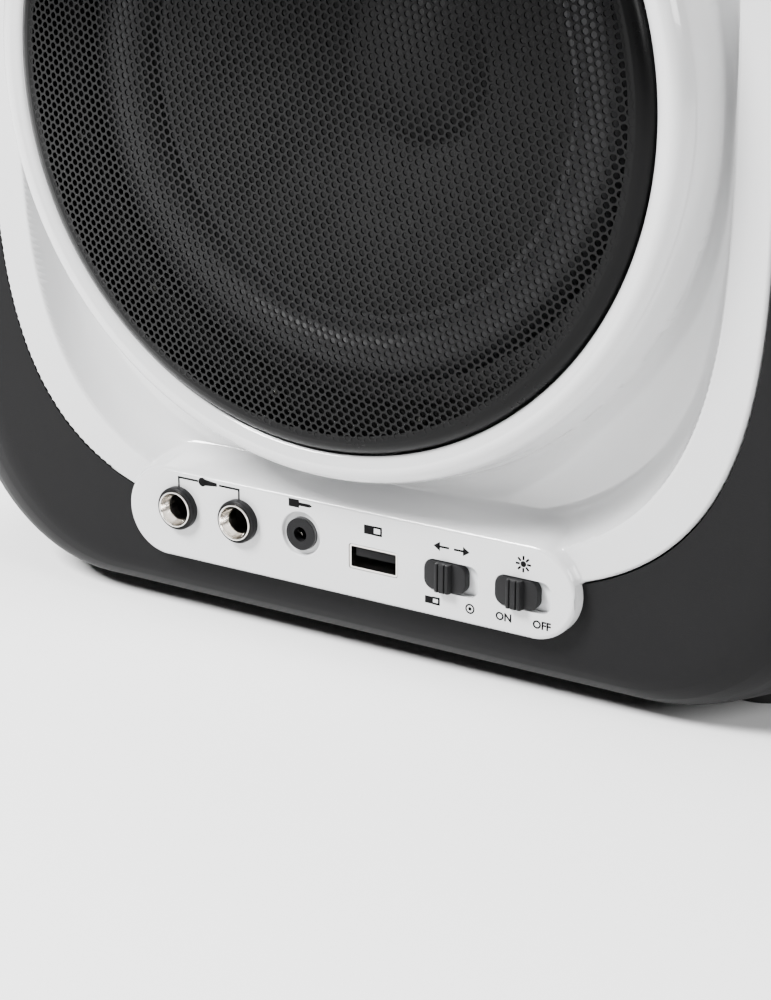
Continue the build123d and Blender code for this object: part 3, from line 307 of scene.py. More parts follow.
@dataclass(frozen=True)
class Brushed(Finish):
    """Sheet or rod with long fine scratches."""

    def grain_height(self, bench: Bench) -> Value:
        """Noise drawn out along the scratches."""
        return self.noise(bench, self.grain, 4.0)


@dataclass(frozen=True)
class Pressed(Finish):
    """Paper pulp of a speaker cone: fibres and a radial pull."""

    centre: Triple = (0.0, 0.0, 0.0)
    ribs: float = 48.0

    def grain_height(self, bench: Bench) -> Value:
        """Fibres over faint radial ribs."""
        coordinate = bench.node("ShaderNodeTexCoord").outputs["Object"]
        moved = bench.node("ShaderNodeVectorMath", {"operation": "SUBTRACT"}, {0: coordinate, 1: self.centre})
        parts = bench.node("ShaderNodeSeparateXYZ", {}, {0: moved.outputs[0]})
        across, up = Value(bench, parts.outputs[0]), Value(bench, parts.outputs[2])
        turn = bench.value("ShaderNodeMath", {"operation": "ARCTAN2"}, {0: across, 1: up})
        return (turn * self.ribs).wave() * 0.08 + self.noise(bench, self.grain, 5.0)


@dataclass(frozen=True)
class Board(Finish):
    """Circuit board: solder mask with faint traces and pads."""

    def base(self, bench: Bench) -> Socket:
        """Mask colour with lighter traces."""
        traces = bench.value("ShaderNodeTexBrick", {"offset": 0.37}, {
            "Vector": self.place(bench), "Scale": 0.22, "Mortar Size": 0.09, "Color1": (0, 0, 0, 1),
            "Color2": (0.2, 0.2, 0.2, 1), "Mortar": (1, 1, 1, 1)}, 1)
        pads = 1 - bench.value("ShaderNodeTexVoronoi", {}, {"Vector": self.place(bench), "Scale": 0.35})
        lift = traces * 0.35 + pads.above(0.88) * 0.8
        light = tuple(min(part * 2.2 + 0.03, 1.0) for part in self.colour)
        return bench.ramp(lift, [(0.0, self.colour), (0.9, light)])


@dataclass(frozen=True)
class Lit(Finish):
    """A mark or segment that glows."""

    glow: Triple = (1.0, 1.0, 1.0)
    strength: float = 1.5

    def surface(self, bench: Bench) -> Socket:
        """Glow that varies a little over the mark."""
        wander = self.noise(bench, 2.0).remap(0.3, 0.7, 0.85, 1.0)
        colour = bench.ramp(wander, [(0.0, (0, 0, 0)), (1.0, self.glow)])
        return bench.node("ShaderNodeBsdfPrincipled", {}, {
            "Base Color": self.base(bench), "Roughness": self.roughness, "Emission Color": colour,
            "Emission Strength": self.strength}).outputs[0]


@dataclass(frozen=True)
class Clear(Finish):
    """Tinted window or lens with a coated face."""

    alpha: float = 0.5

    def surface(self, bench: Bench) -> Socket:
        """Glossy tinted face that shows what is behind it."""
        grain = self.noise(bench, 6.0)
        bump = bench.node("ShaderNodeBump", {}, {"Strength": 1.0, "Distance": self.height * MM, "Height": grain})
        rough = self.noise(bench, 9.0).remap(0.3, 0.7, self.roughness, self.roughness + self.spread)
        return bench.node("ShaderNodeBsdfPrincipled", {}, {
            "Base Color": self.base(bench), "Roughness": rough, "Alpha": self.alpha, "Coat Weight": self.coat,
            "Normal": bump.outputs[0]}).outputs[0]


SPEAKER_CENTRE = (0.0, -0.106, 0.1392)  # metres
CASE = Sparked("case_satin", (0.0074, 0.0074, 0.0077), tone=0.06, roughness=0.46, spread=0.012, height=0.030,
               specular=0.07)
PANEL = Sparked("panel_satin", (0.0050, 0.0050, 0.0052), tone=0.06, roughness=0.42, spread=0.012, height=0.022,
                specular=0.08)
WHITE = Finish("bezel_gloss", (0.56, 0.562, 0.566), tone=0.012, roughness=0.14, spread=0.02, grain=2.4, height=0.003,
               coat=0.7, coat_roughness=0.03)
STRIP_WHITE = Finish("strip_satin", (0.56, 0.563, 0.568), tone=0.012, roughness=0.34, spread=0.04, grain=0.6,
                     height=0.003, coat=0.15, coat_roughness=0.2)
FLOOR_WHITE = Finish("slot_floor", (0.66, 0.67, 0.68), tone=0.02, roughness=0.4, height=0.004)
SOCKET_BLACK = Sparked("socket_black", (0.0070, 0.0070, 0.0075), tone=0.1, roughness=0.38, pip=0.25, specular=0.10)
NOSE_BLACK = Finish("nose_gloss", (0.006, 0.006, 0.0065), roughness=0.16, spread=0.03, grain=0.8, height=0.003,
                    coat=0.3)
SWITCH_BLACK = Sparked("switch_satin", (0.0110, 0.0110, 0.0115), tone=0.1, roughness=0.44, height=0.014, pip=0.22,
                       specular=0.10)
NICKEL = Machined("nickel_plate", (0.74, 0.71, 0.67), tone=0.05, roughness=0.16, spread=0.04, metallic=1.0,
                  height=0.003, line=0.22)
GRILLE = Sparked("grille_paint", (0.0026, 0.0026, 0.0027), tone=0.12, roughness=0.30, spread=0.04, grain=0.4,
                 pip=0.3, specular=0.12)
RIM = Sparked("rim_paint", (0.0022, 0.0022, 0.0023), roughness=0.30, spread=0.04, grain=0.4, height=0.006, pip=0.3,
              specular=0.10)
RING = Sparked("ring_black", (0.008, 0.008, 0.008), height=0.02, specular=0.10)
BOARD = Board("board_mask", (0.012, 0.075, 0.030), roughness=0.35)
LAMP_BOARD = Board("board_black", (0.004, 0.004, 0.004), specular=0.1)
BASKET = Sparked("basket_paint", (0.018, 0.018, 0.019), roughness=0.45, height=0.02)
FERRITE = Finish("ferrite", (0.030, 0.030, 0.032), tone=0.15, roughness=0.6, grain=0.3, height=0.03)
CONE = Pressed("cone_pulp", (0.006, 0.006, 0.0063), tone=0.16, roughness=0.75, grain=0.45, height=0.10,
               centre=SPEAKER_CENTRE)
SURROUND = Finish("surround_soft", (0.034, 0.034, 0.036), grain=0.8, height=0.02)
RUBBER = Finish("soft_rubber", (0.0095, 0.0095, 0.0095), tone=0.12, roughness=0.72, grain=0.35, height=0.03)
TRAY = Sparked("tray_satin", (0.017, 0.017, 0.018), roughness=0.42, height=0.018, specular=0.10)
CHASSIS = Finish("chassis_grey", (0.034, 0.034, 0.036), tone=0.1, grain=0.6, height=0.02)
ACETAL = Finish("acetal", (0.70, 0.68, 0.60), tone=0.05, roughness=0.38, grain=0.8, height=0.008, coat=0.1)
ZINC = Finish("zinc_plate", (0.58, 0.59, 0.60), tone=0.14, roughness=0.34, spread=0.1, grain=1.2, metallic=1.0)
STEEL_Y = Brushed("ground_rod", (0.66, 0.66, 0.67), roughness=0.2, height=0.006, metallic=1.0,
                  stretch=(1.0, 0.08, 1.0))
SLED = Sparked("sled_black", (0.012, 0.012, 0.013), roughness=0.4, height=0.02)
LENS = Clear("lens_coat", (0.25, 0.30, 0.62), roughness=0.04, spread=0.02, alpha=0.65, coat=1.0, height=0.002)
TURNTABLE = Sparked("turntable_black", (0.014, 0.014, 0.0145), height=0.02)
WINDOW = Clear("display_smoke", (0.004, 0.005, 0.007), roughness=0.10, spread=0.03, alpha=0.97, coat=0.2,
               height=0.002)
KEY_WHITE = Finish("key_white", (0.74, 0.745, 0.755), tone=0.015, roughness=0.25, spread=0.04, grain=1.5,
                   height=0.004, coat=0.4)
KNOB = Sparked("knob_satin", (0.0105, 0.0105, 0.0110), roughness=0.38, height=0.012, pip=0.3, specular=0.10)
STAMPED = Finish("stamped_aluminium", (0.60, 0.60, 0.59), tone=0.12, roughness=0.38, grain=0.9, height=0.02,
                 metallic=1.0)
HANDLE = Sparked("handle_satin", (0.0105, 0.0105, 0.0108), roughness=0.4, height=0.02, specular=0.10)
GOLD = Machined("socket_plate", (0.80, 0.60, 0.26), tone=0.06, roughness=0.2, metallic=1.0, height=0.003)
INK = Finish("ink_black", (0.002, 0.002, 0.0022), tone=0.2, grain=0.3, height=0.002, specular=0.06)
INK_WHITE = Finish("ink_white", (0.70, 0.70, 0.71), tone=0.05, grain=0.3, height=0.002)
GLOW = Lit("segment_glow", (0.02, 0.08, 0.10), roughness=0.3, glow=(0.35, 0.85, 1.0), strength=2.2)
LAMP = Lit("lamp_lens", (0.10, 0.10, 0.09), roughness=0.3, glow=(0.9, 0.9, 0.85), strength=0.004)
PRINTS = {name: Finish(name + "_insulator", colour, roughness=0.35, grain=0.4, height=0.006)
          for name, colour in (("yellow", (0.62, 0.42, 0.02)), ("white", (0.62, 0.62, 0.60)),
                               ("red", (0.42, 0.012, 0.012)))}
FLOOR = Finish("floor_paper", (0.93, 0.93, 0.93), tone=0.004, roughness=0.85, grain=3.0, height=0.004)


# ---------------------------------------------------------------- places that several classes share

def at(x: float, y: float, z: float) -> Matrix:
    """A move to a place in millimetres."""
    return Matrix.Translation((x, y, z))


PLANE = -106.0  # face of the socket strip, in millimetres behind the case's middle
SPEAKER_Z = 139.2  # height of the speaker's axis
STRIP_Z = 28.2  # height of the strip's middle
JACKS = ((-47.5, 30.1), (-29.5, 30.1))
AUX = (-11.5, 30.1)
PORT = (9.0, 27.4)
SLOTS = ((30.5, 27.4), (49.55, 27.4))
SLOT = (14.8, 7.7, 2.7)  # width, height and corner of a switch's slot
OUTWARD = Matrix.Rotation(-math.pi / 2, 4, "X")  # turns Z to the rear, or a plane's marks face up


# ---------------------------------------------------------------- outlines and skins

def circle(radius: float, count: int = 64, start: float = 0.0) -> Points:
    """Points round a circle in the plane."""
    angle = start + TAU * np.arange(count) / count
    return np.column_stack([radius * np.cos(angle), radius * np.sin(angle)])


def rounded(width: float, height: float, corner: float, steps: int = 8, between: int = 1) -> Points:
    """Points round a rectangle with round corners, anticlockwise from its right side.

    Args:
        width: Full width.
        height: Full height.
        corner: Corner radius.
        steps: Steps in each corner.
        between: Points on each straight side, its ends apart.

    Returns:
        An array of points, one row each.
    """
    half_x, half_y = width / 2 - corner, height / 2 - corner
    rows: list[Pair] = []
    for index, (sx, sy) in enumerate(((1, 1), (-1, 1), (-1, -1), (1, -1))):
        for step in range(steps + 1):
            angle = (index + step / steps) * math.pi / 2
            rows.append((sx * half_x + corner * math.cos(angle), sy * half_y + corner * math.sin(angle)))
        next_x, next_y = ((-1, 1), (-1, -1), (1, -1), (1, 1))[index]
        angle = (index + 1) * math.pi / 2
        last = rows[-1]
        following = (next_x * half_x + corner * math.cos(angle), next_y * half_y + corner * math.sin(angle))
        for step in range(1, between + 1):
            part = step / (between + 1)
            rows.append((last[0] + (following[0] - last[0]) * part, last[1] + (following[1] - last[1]) * part))
    return np.array(rows)


def squircle_reach(angle: Points, half_x: float, half_z: float, power: float) -> Points:
    """Distance from the centre to a rounded square curve in the given directions."""
    return (np.abs(np.cos(angle) / half_x) ** power + np.abs(np.sin(angle) / half_z) ** power) ** (-1 / power)


def upright(flat: Points, x: float, z: float, y: float) -> Points:
    """Plane points set on a plane that faces the front, at depth y."""
    return np.column_stack([flat[:, 0] + x, np.full(len(flat), y), flat[:, 1] + z])


def level(flat: Points, x: float, y: float, z: float) -> Points:
    """Plane points set on a level plane."""
    return np.column_stack([flat[:, 0] + x, flat[:, 1] + y, np.full(len(flat), z)])


def facing(x: float, y: float, z: float) -> Matrix:
    """A place, in millimetres, whose own Z axis points to the front."""
    return at(x, y, z) @ Matrix.Rotation(math.pi / 2, 4, "X")


def link(name: str, data: bpy.types.ID) -> Piece:
    """A new object of the scene."""
    made = bpy.data.objects.new(name, data)
    bpy.context.scene.collection.objects.link(made)
    return made


class Form:
    """Collects vertices and faces in millimetres and turns them into a mesh piece."""

    def __init__(self) -> None:
        """Starts empty."""
        self.points: list[Sequence[float]] = []
        self.faces: list[list[int]] = []

    def add(self, points: Iterable[Sequence[float]], faces: Iterable[Sequence[int]]) -> None:
        """Adds vertices and the faces between them."""
        start = len(self.points)
        self.points.extend(tuple(point) for point in points)
        self.faces.extend([index + start for index in face] for face in faces)

    def skin(self, rings: Sequence[Points], cap_first: bool = True, cap_last: bool = True,
             closed: bool = True) -> "Form":
        """Joins rings of equal length with quads.

        Args:
            rings: Rings in order.
            cap_first: Closes the first ring with a face.
            cap_last: Closes the last ring with a face.
            closed: Whether each ring runs back to its start.

        Returns:
            The form itself.
        """
        count = len(rings[0])
        wrap = count if closed else count - 1
        faces: list[list[int]] = []
        for row in range(len(rings) - 1):
            low, high = row * count, (row + 1) * count
            faces += [[low + step, low + (step + 1) % count, high + (step + 1) % count, high + step]
                      for step in range(wrap)]
        if cap_first:
            faces.append(list(range(count)))
        if cap_last:
            faces.append(list(range((len(rings) - 1) * count, len(rings) * count)))
        self.add(np.vstack(rings), faces)
        return self

    def turned(self, profile: Sequence[Pair], place: Matrix, count: int = 64, loop: bool = False) -> "Form":
        """Turns a profile of (radius, height) about the Z axis of a place.

        Args:
            profile: Points in order; a radius of nought closes an end.
            place: Position and direction of the axis, in millimetres.
            count: Steps round the axis.
            loop: Joins the last point back to the first.

        Returns:
            The form itself.
        """
        rings = []
        for radius, height in profile:
            flat = circle(max(radius, 0.0), count)
            rings.append(np.column_stack([flat, np.full(count, height)]))
        if loop:
            rings.append(rings[0])
        moved = [np.array([place @ Vector(point) for point in ring]) for ring in rings]
        self.skin(moved, False, False)
        return self

    def block(self, low: Sequence[float], high: Sequence[float], edge: float = 0.3) -> "Form":
        """A box with small chamfers on every edge."""
        rings = []
        for z, inset in ((low[2], edge), (low[2] + edge, 0.0), (high[2] - edge, 0.0), (high[2], edge)):
            flat = rounded(high[0] - low[0] - 2 * inset, high[1] - low[1] - 2 * inset,
                           max(edge * 1.2 - inset, 0.02), 2, 0)
            rings.append(level(flat, (low[0] + high[0]) / 2, (low[1] + high[1]) / 2, z))
        return self.skin(rings)

    def moved(self, place: Matrix) -> "Form":
        """Moves everything drawn so far to a place, in millimetres."""
        self.points = [tuple(place @ Vector(point)) for point in self.points]
        return self

    def join(self, other: "Form") -> "Form":
        """Takes up another form."""
        self.add(other.points, other.faces)
        return self

    def piece(self, name: str, smooth: float = SHARP, outward: bool = True) -> Piece:
        """Makes the mesh object, in metres.

        Args:
            name: The piece's name.
            smooth: Edges sharper than this many degrees stay sharp.
            outward: Merges doubles and turns the faces outwards.

        Returns:
            The new object.
        """
        mesh = bpy.data.meshes.new(name)
        mesh.from_pydata([[part * MM for part in point] for point in self.points], [], self.faces)
        shape = bmesh.new()
        shape.from_mesh(mesh)
        bmesh.ops.remove_doubles(shape, verts=shape.verts, dist=FORM_MERGE * MM)
        bmesh.ops.dissolve_degenerate(shape, edges=shape.edges, dist=FORM_MERGE / 2 * MM)
        if outward:
            bmesh.ops.recalc_face_normals(shape, faces=shape.faces)
        shape.to_mesh(mesh)
        shape.free()
        piece = link(name, mesh)
        soften(piece, smooth)
        return piece


def soften(piece: Piece, angle: float = SHARP) -> None:
    """Shades a piece smooth and keeps its sharp edges."""
    piece.data.shade_smooth()
    piece.data.set_sharp_from_angle(angle=math.radians(angle))


def refined(node: str, bevel: float = 0.0) -> Piece:
    """A merged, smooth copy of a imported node.

    Args:
        node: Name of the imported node.
        bevel: Width of the bevels in millimetres, none at nought.

    Returns:
        The new object.
    """
    mesh = frame["nodes"][node].data.copy()
    shape = bmesh.new()
    shape.from_mesh(mesh)
    bmesh.ops.remove_doubles(shape, verts=shape.verts, dist=NODE_MERGE * MM)
    bmesh.ops.dissolve_limit(shape, angle_limit=math.radians(FLAT_LIMIT), verts=shape.verts, edges=shape.edges)
    shape.to_mesh(mesh)
    shape.free()
    mesh.name = node + "_skin"
    mesh.materials.clear()
    return edged(link(node + "_skin", mesh), bevel)


def edged(piece: Piece, bevel: float) -> Piece:
    """Gives a piece small bevels, none at nought, and even shading.

    Args:
        piece: The piece.
        bevel: Width of the bevels in millimetres.

    Returns:
        The piece.
    """
    soften(piece)
    if bevel:
        modifier = piece.modifiers.new("edge", "BEVEL")
        modifier.width = bevel * MM
        modifier.segments = 2
        modifier.limit_method = "ANGLE"
        modifier.angle_limit = math.radians(BEVEL_LIMIT)
    even = piece.modifiers.new("even", "WEIGHTED_NORMAL")
    even.weight = 50
    even.keep_sharp = True
    return settle(piece)


def settle(piece: Piece) -> Piece:
    """Bakes a piece's modifiers into its mesh and removes them."""
    graph = bpy.context.evaluated_depsgraph_get()
    mesh = bpy.data.meshes.new_from_object(piece.evaluated_get(graph), depsgraph=graph)
    old = piece.data
    piece.modifiers.clear()
    piece.data = mesh
    mesh.name = piece.name
    if not old.users:
        bpy.data.meshes.remove(old)
    return piece


def carve(piece: Piece, cutter: Piece, keep: str = "DIFFERENCE") -> Piece:
    """Cuts a piece with a closed form, which is then removed.

    Args:
        piece: What is cut.
        cutter: The closed form.
        keep: Which part stays, as the Boolean modifier names it.

    Returns:
        The cut piece.
    """
    modifier = piece.modifiers.new("cut", "BOOLEAN")
    modifier.operation = keep
    modifier.solver = "EXACT"
    modifier.use_self = True
    modifier.object = cutter
    settle(piece)
    bpy.data.objects.remove(cutter)
    return piece


class Body(StrEnum):
    """Bodies that the drawn pieces ride on."""

    CABINET = "cabinet"
    TRAY = "tray"
    HANDLE = "handle"
    FUNCTION = "function_switch"
    LIGHT = "light_switch"


def mount(piece: Piece, body: str, slot: str, finish: Finish, *nodes: str) -> Piece:
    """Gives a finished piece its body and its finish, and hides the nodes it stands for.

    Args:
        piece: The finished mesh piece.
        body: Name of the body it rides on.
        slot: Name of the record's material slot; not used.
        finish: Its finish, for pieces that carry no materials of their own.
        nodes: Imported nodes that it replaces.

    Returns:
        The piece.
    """
    if not any(piece.data.materials):
        piece.data.materials.clear()
        piece.data.materials.append(finish.material())
    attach(piece, str(body))
    if nodes:
        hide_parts(*nodes)
    LOG.info("%s: %d faces on %s", piece.name, len(piece.data.polygons), body)
    return piece


# ---------------------------------------------------------------- room

@dataclass
class Studio:
    """Floor, soft lights and the camera, with places in millimetres."""

    eye: Triple = (331.6, -603.5, 247.4)
    target: Triple = (12.48, -106.0, 43.14)
    lens: float = 96.94
    floor_size: float = 6000.0
    floor_bend: float = 900.0
    world: float = 0.04
    lamps: tuple[tuple, ...] = (
        ("key", (-600, -900, 1100), (0, -60, 120), 500, 78.0), ("side", (1300, -300, 700), (0, -60, 120), 600, 15.0),
        ("top", (0, 200, 1500), (0, -60, 100), 1500, 24.0), ("rear", (-500, 1300, 900), (0, 60, 120), 700, 22.0))

    def build(self) -> None:
        """Makes the room around the machine."""
        self.camera()
        self.floor()
        for name, place, aim, size, power in self.lamps:
            self.lamp(name, place, aim, size, power)
        world = bpy.data.worlds.new("studio")
        world.use_nodes = True
        background = world.node_tree.nodes["Background"]
        background.inputs[0].default_value = (1.0, 1.0, 1.0, 1.0)
        background.inputs[1].default_value = self.world
        bpy.context.scene.world = world

    def camera(self) -> None:
        """Sets the camera."""
        data = bpy.data.cameras.new("view")
        data.lens = self.lens
        data.sensor_width = 36.0
        data.sensor_fit = "AUTO"
        camera = link("view", data)
        eye, target = Vector(self.eye) * MM, Vector(self.target) * MM
        camera.location = eye
        camera.rotation_euler = (target - eye).to_track_quat("-Z", "Y").to_euler()
        bpy.context.scene.camera = camera

    def floor(self) -> None:
        """Makes the pale floor that curves up behind the machine."""
        half, bend = self.floor_size / 2, self.floor_bend
        form = Form()
        rows = []
        for step in range(25):
            angle = step / 24 * math.pi / 2
            rows.append((half / 2 + bend * math.sin(angle), bend * (1 - math.cos(angle))))
        line = [(-half, 0.0)] + rows + [(half / 2 + bend, 3000.0)]
        points = [(side * half, y, z) for side in (-1, 1) for y, z in line]
        count = len(line)
        form.add(points, [[step, step + 1, count + step + 1, count + step] for step in range(count - 1)])
        floor = form.piece("floor", 60, False)
        floor.data.materials.append(FLOOR.material())

    def lamp(self, name: str, place: Sequence[float], aim: Sequence[float], size: float, power: float) -> None:
        """Adds one square area light.

        Args:
            name: Its name.
            place: Where it is, in millimetres.
            aim: What it points at, in millimetres.
            size: Side of the square, in millimetres.
            power: Light power in watts.
        """
        data = bpy.data.lights.new(name, "AREA")
        data.shape = "SQUARE"
        data.size = size * MM
        data.energy = power
        lamp = link(name, data)
        lamp.location = Vector(place) * MM
        lamp.rotation_euler = (Vector(aim) - Vector(place)).to_track_quat("-Z", "Y").to_euler()


# ---------------------------------------------------------------- white front moulding

def hermite(knots: Sequence[Pair], at: Points) -> Points:
    """A smooth curve through knots, as height over position.

    Args:
        knots: Position and height of each knot, in rising order.
        at: Positions to evaluate.

    Returns:
        The heights.
    """
    x, y = np.array(knots).T
    chord = np.diff(y) / np.diff(x)
    tangent = np.concatenate([[chord[0]], (chord[1:] + chord[:-1]) / 2, [chord[-1]]])
    index = np.clip(np.searchsorted(x, at) - 1, 0, len(x) - 2)
    width = x[index + 1] - x[index]
    t = np.clip((at - x[index]) / width, 0, 1)
    return ((2 * t ** 3 - 3 * t ** 2 + 1) * y[index] + (t ** 3 - 2 * t ** 2 + t) * width * tangent[index]
            + (3 * t ** 2 - 2 * t ** 3) * y[index + 1] + (t ** 3 - t ** 2) * width * tangent[index + 1])


@dataclass
class Bezel:
    """Ring, cove, band and socket strip as one moulding, drawn as a depth over the front plane.

    Depths count back from the strip's face; positions count from the middle of the case and the floor.
    """

    plane: float = PLANE
    centre: float = SPEAKER_Z
    ring: Profile = (
        (84.0, -8.4), (84.35, -8.75), (86.2, -9.35), (87.3, -9.6), (88.5, -9.35), (89.6, -8.6), (90.6, -7.2),
        (91.4, -5.2), (92.0, -2.6), (92.6, 0.8), (93.1, 3.6))
    lip: Triple = (96.0, 106.5, 3.3)
    outline: Triple = (105.5, 113.0, 3.5)
    band: float = 3.0
    cove: float = 10.5
    throat: float = 84.0
    ring_rows: Row = (
        84.15, 84.35, 84.9, 85.6, 86.4, 87.3, 88.0, 88.6, 89.2, 89.7, 90.2, 90.6, 91.0, 91.35, 91.7, 92.0, 92.25,
        92.5, 92.75, 93.1)
    cove_rows: Row = (0.02, 0.05, 0.1, 0.17, 0.26, 0.37, 0.5, 0.63, 0.74, 0.83, 0.9, 0.95, 0.98, 0.996)
    lip_rows: Row = (0.03, 0.2, 0.4, 0.6, 0.85)
    band_rows: Row = (0.2, 0.4, 0.6, 0.8, 1.0)
    rim_rows: Row = (0.6, 0.4, 0.22, 0.08)
    strip_rows: Row = (
        -2.4, -1.2, -0.95, -0.72, -0.5, -0.32, -0.18, -0.08, 0.1, 0.3, 0.55, 0.85, 1.2, 1.6, 2.1, 2.7, 3.3, 3.9, 4.6,
        5.4, 6.3, 7.3, 8.2, 9.1)
    strip_half: float = 63.1
    strip_radius: float = 11.4
    strip_z: float = STRIP_Z
    edge: float = 1.2
    roll: float = 0.9487
    steep: float = 4.2
    blend: float = 2.8
    sheet: float = 2.5
    jacks: Profile = JACKS
    jack_hole: float = 4.6
    aux: Pair = AUX
    aux_recess: float = 5.8
    port: tuple[float, float, float, float] = (*PORT, 13.7, 6.3)
    slots: Profile = SLOTS
    slot: Triple = SLOT

    def strip_distance(self, x: Points, z: Points) -> Points:
        """Distance outside the strip's outline, negative inside."""
        beyond = np.maximum(np.abs(x) - (self.strip_half - self.strip_radius), 0)
        return np.hypot(beyond, z - self.strip_z) - self.strip_radius

    def cove_depth(self, x: Points, z: Points) -> Points:
        """Depth of the ring, the cove and the band, without the strip."""
        across, up = x, z - self.centre
        radius, angle = np.hypot(across, up), np.arctan2(up, across)
        lip = squircle_reach(angle, *self.lip)
        rim = squircle_reach(angle, *self.outline)
        foot, foot_depth = self.ring[-1]
        width = lip - foot
        part = np.clip((radius - foot) / width, 0, 1)
        bow = np.where(part < 0.5, np.maximum(1 - np.abs(1 - 2 * part) ** 2.4, 0) ** (1 / 2.4),
                       1 - np.abs(2 * part - 1) ** 3.2)
        start = foot_depth + (self.band + 0.3 - foot_depth) * part
        depth = start + self.cove * (1 - np.exp(-width / 7.0)) * bow
        depth = np.where(radius < foot, hermite(self.ring, radius), depth)
        round_lip = self.band + 0.3 * (1 - np.clip((radius - lip) / 0.8, 0, 1)) ** 2
        depth = np.where(radius > lip, round_lip, depth)
        fall = np.clip(1 - (rim - radius) / 0.8, 0, 1)
        edge = 0.8 * (1 - np.sqrt(1 - fall ** 2))
        beyond = np.maximum(radius - rim, 0) * 6
        return depth + np.where(radius > lip, edge + beyond, 0)

    def depth(self, x: Points, z: Points) -> Points:
        """Depth of the whole front face."""
        cove = self.cove_depth(x, z)
        away = self.strip_distance(x, z)
        turn = np.clip((away + self.edge) / self.edge, 0, self.roll)
        side = self.edge * (1 - np.sqrt(1 - turn ** 2))
        strip = side + self.steep * np.maximum(away + self.edge * (1 - self.roll), 0)
        nearness = np.maximum(self.blend - np.abs(cove - strip), 0) / self.blend
        joined = np.minimum(cove, strip) - nearness ** 2 * self.blend / 4
        return np.where(away < -self.edge, 0.0, joined)

    def border(self) -> Points:
        """Outline of the moulding: the rounded square with the strip's ends and lower side."""
        angle = np.linspace(-math.pi / 2, 1.5 * math.pi, 1440, endpoint=False)
        reach = squircle_reach(angle, *self.outline)
        square = np.column_stack([reach * np.cos(angle), self.centre + reach * np.sin(angle)])
        outer = square[self.strip_distance(*square.T) > 0.02]
        strip = rounded(2 * self.strip_half, 2 * self.strip_radius, self.strip_radius, 48, 110)
        strip = strip + (0.0, self.strip_z)
        up = strip[:, 1] - self.centre
        turn = np.arctan2(up, strip[:, 0])
        lower = strip[np.hypot(strip[:, 0], up) > squircle_reach(turn, *self.outline) + 0.02]
        lower = lower[np.argsort(lower[:, 0])]
        return np.vstack([outer, lower])

    def holes(self) -> list[Points]:
        """Outlines of the openings in the strip's face."""
        loops = [circle(self.jack_hole, 72) + place for place in self.jacks]
        loops.append(circle(self.aux_recess, 96) + self.aux)
        x, z, width, height = self.port
        loops.append(rounded(width, height, 0.7, 6, 6) + (x, z))
        loops += [rounded(self.slot[0], self.slot[1], self.slot[2], 12, 6) + place for place in self.slots]
        return loops

    def samples(self) -> Points:
        """Inner points: rays from the speaker's axis and lines along the strip's edge."""
        angle = np.linspace(0, TAU, 400, endpoint=False)
        lip, rim = squircle_reach(angle, *self.lip), squircle_reach(angle, *self.outline)
        foot, last_lip = self.ring_rows[-1], self.lip_rows[-1]
        radii = [np.full_like(angle, radius) for radius in self.ring_rows]
        radii += [foot + (lip - foot) * part for part in self.cove_rows]
        radii += [lip + step for step in self.lip_rows]
        radii += [lip + last_lip + (rim - last_lip - lip - last_lip) * part for part in self.band_rows]
        radii += [rim - step for step in self.rim_rows]
        rays = np.vstack([np.column_stack([reach * np.cos(angle), self.centre + reach * np.sin(angle)])
                          for reach in radii])
        near_ring = np.hypot(rays[:, 0], rays[:, 1] - self.centre) < foot + 0.1
        rays = rays[(self.strip_distance(*rays.T) > self.strip_rows[-1] + 0.2) | near_ring]
        lines = np.vstack([rounded(2 * (self.strip_half + grow), 2 * (self.strip_radius + grow),
                                   self.strip_radius + grow, 40, 90) + (0.0, self.strip_z)
                           for grow in self.strip_rows])
        lines = lines[np.hypot(lines[:, 0], lines[:, 1] - self.centre) > foot + 0.2]
        points = np.vstack([rays, lines])
        up = points[:, 1] - self.centre
        inside = np.hypot(points[:, 0], up) < squircle_reach(np.arctan2(up, points[:, 0]), *self.outline) - 0.05
        within = self.strip_distance(*points.T) < -0.05
        return points[(inside | within) & (np.hypot(points[:, 0], up) > self.throat + 0.1)]

    def build(self) -> Piece:
        """Makes the moulding and mounts it in place of its solid."""
        inner = circle(self.throat, 400) + (0.0, self.centre)
        loops = [self.border(), inner, *self.holes()]
        points = self.samples()
        for loop in loops[:1] + loops[2:]:
            near = np.full(len(points), 9.0)
            for part in np.array_split(loop, 12):
                gap = np.hypot(points[:, None, 0] - part[None, :, 0], points[:, None, 1] - part[None, :, 1])
                near = np.minimum(near, gap.min(axis=1))
            points = points[near > 0.12]
        vertices, edges = [*map(tuple, points)], []
        for loop in loops:
            start = len(vertices)
            vertices += [*map(tuple, loop)]
            edges += [(start + step, start + (step + 1) % len(loop)) for step in range(len(loop))]
        flat, _, faces, *_ = delaunay_2d_cdt([Vector(v) for v in vertices], edges, [], 0, 1e-5)
        flat = np.array([tuple(v) for v in flat])
        faces = np.array([tuple(face) for face in faces if len(face) == 3])
        faces = faces[self.keeps(flat[faces].mean(axis=1))]
        return self.shell(flat, faces)

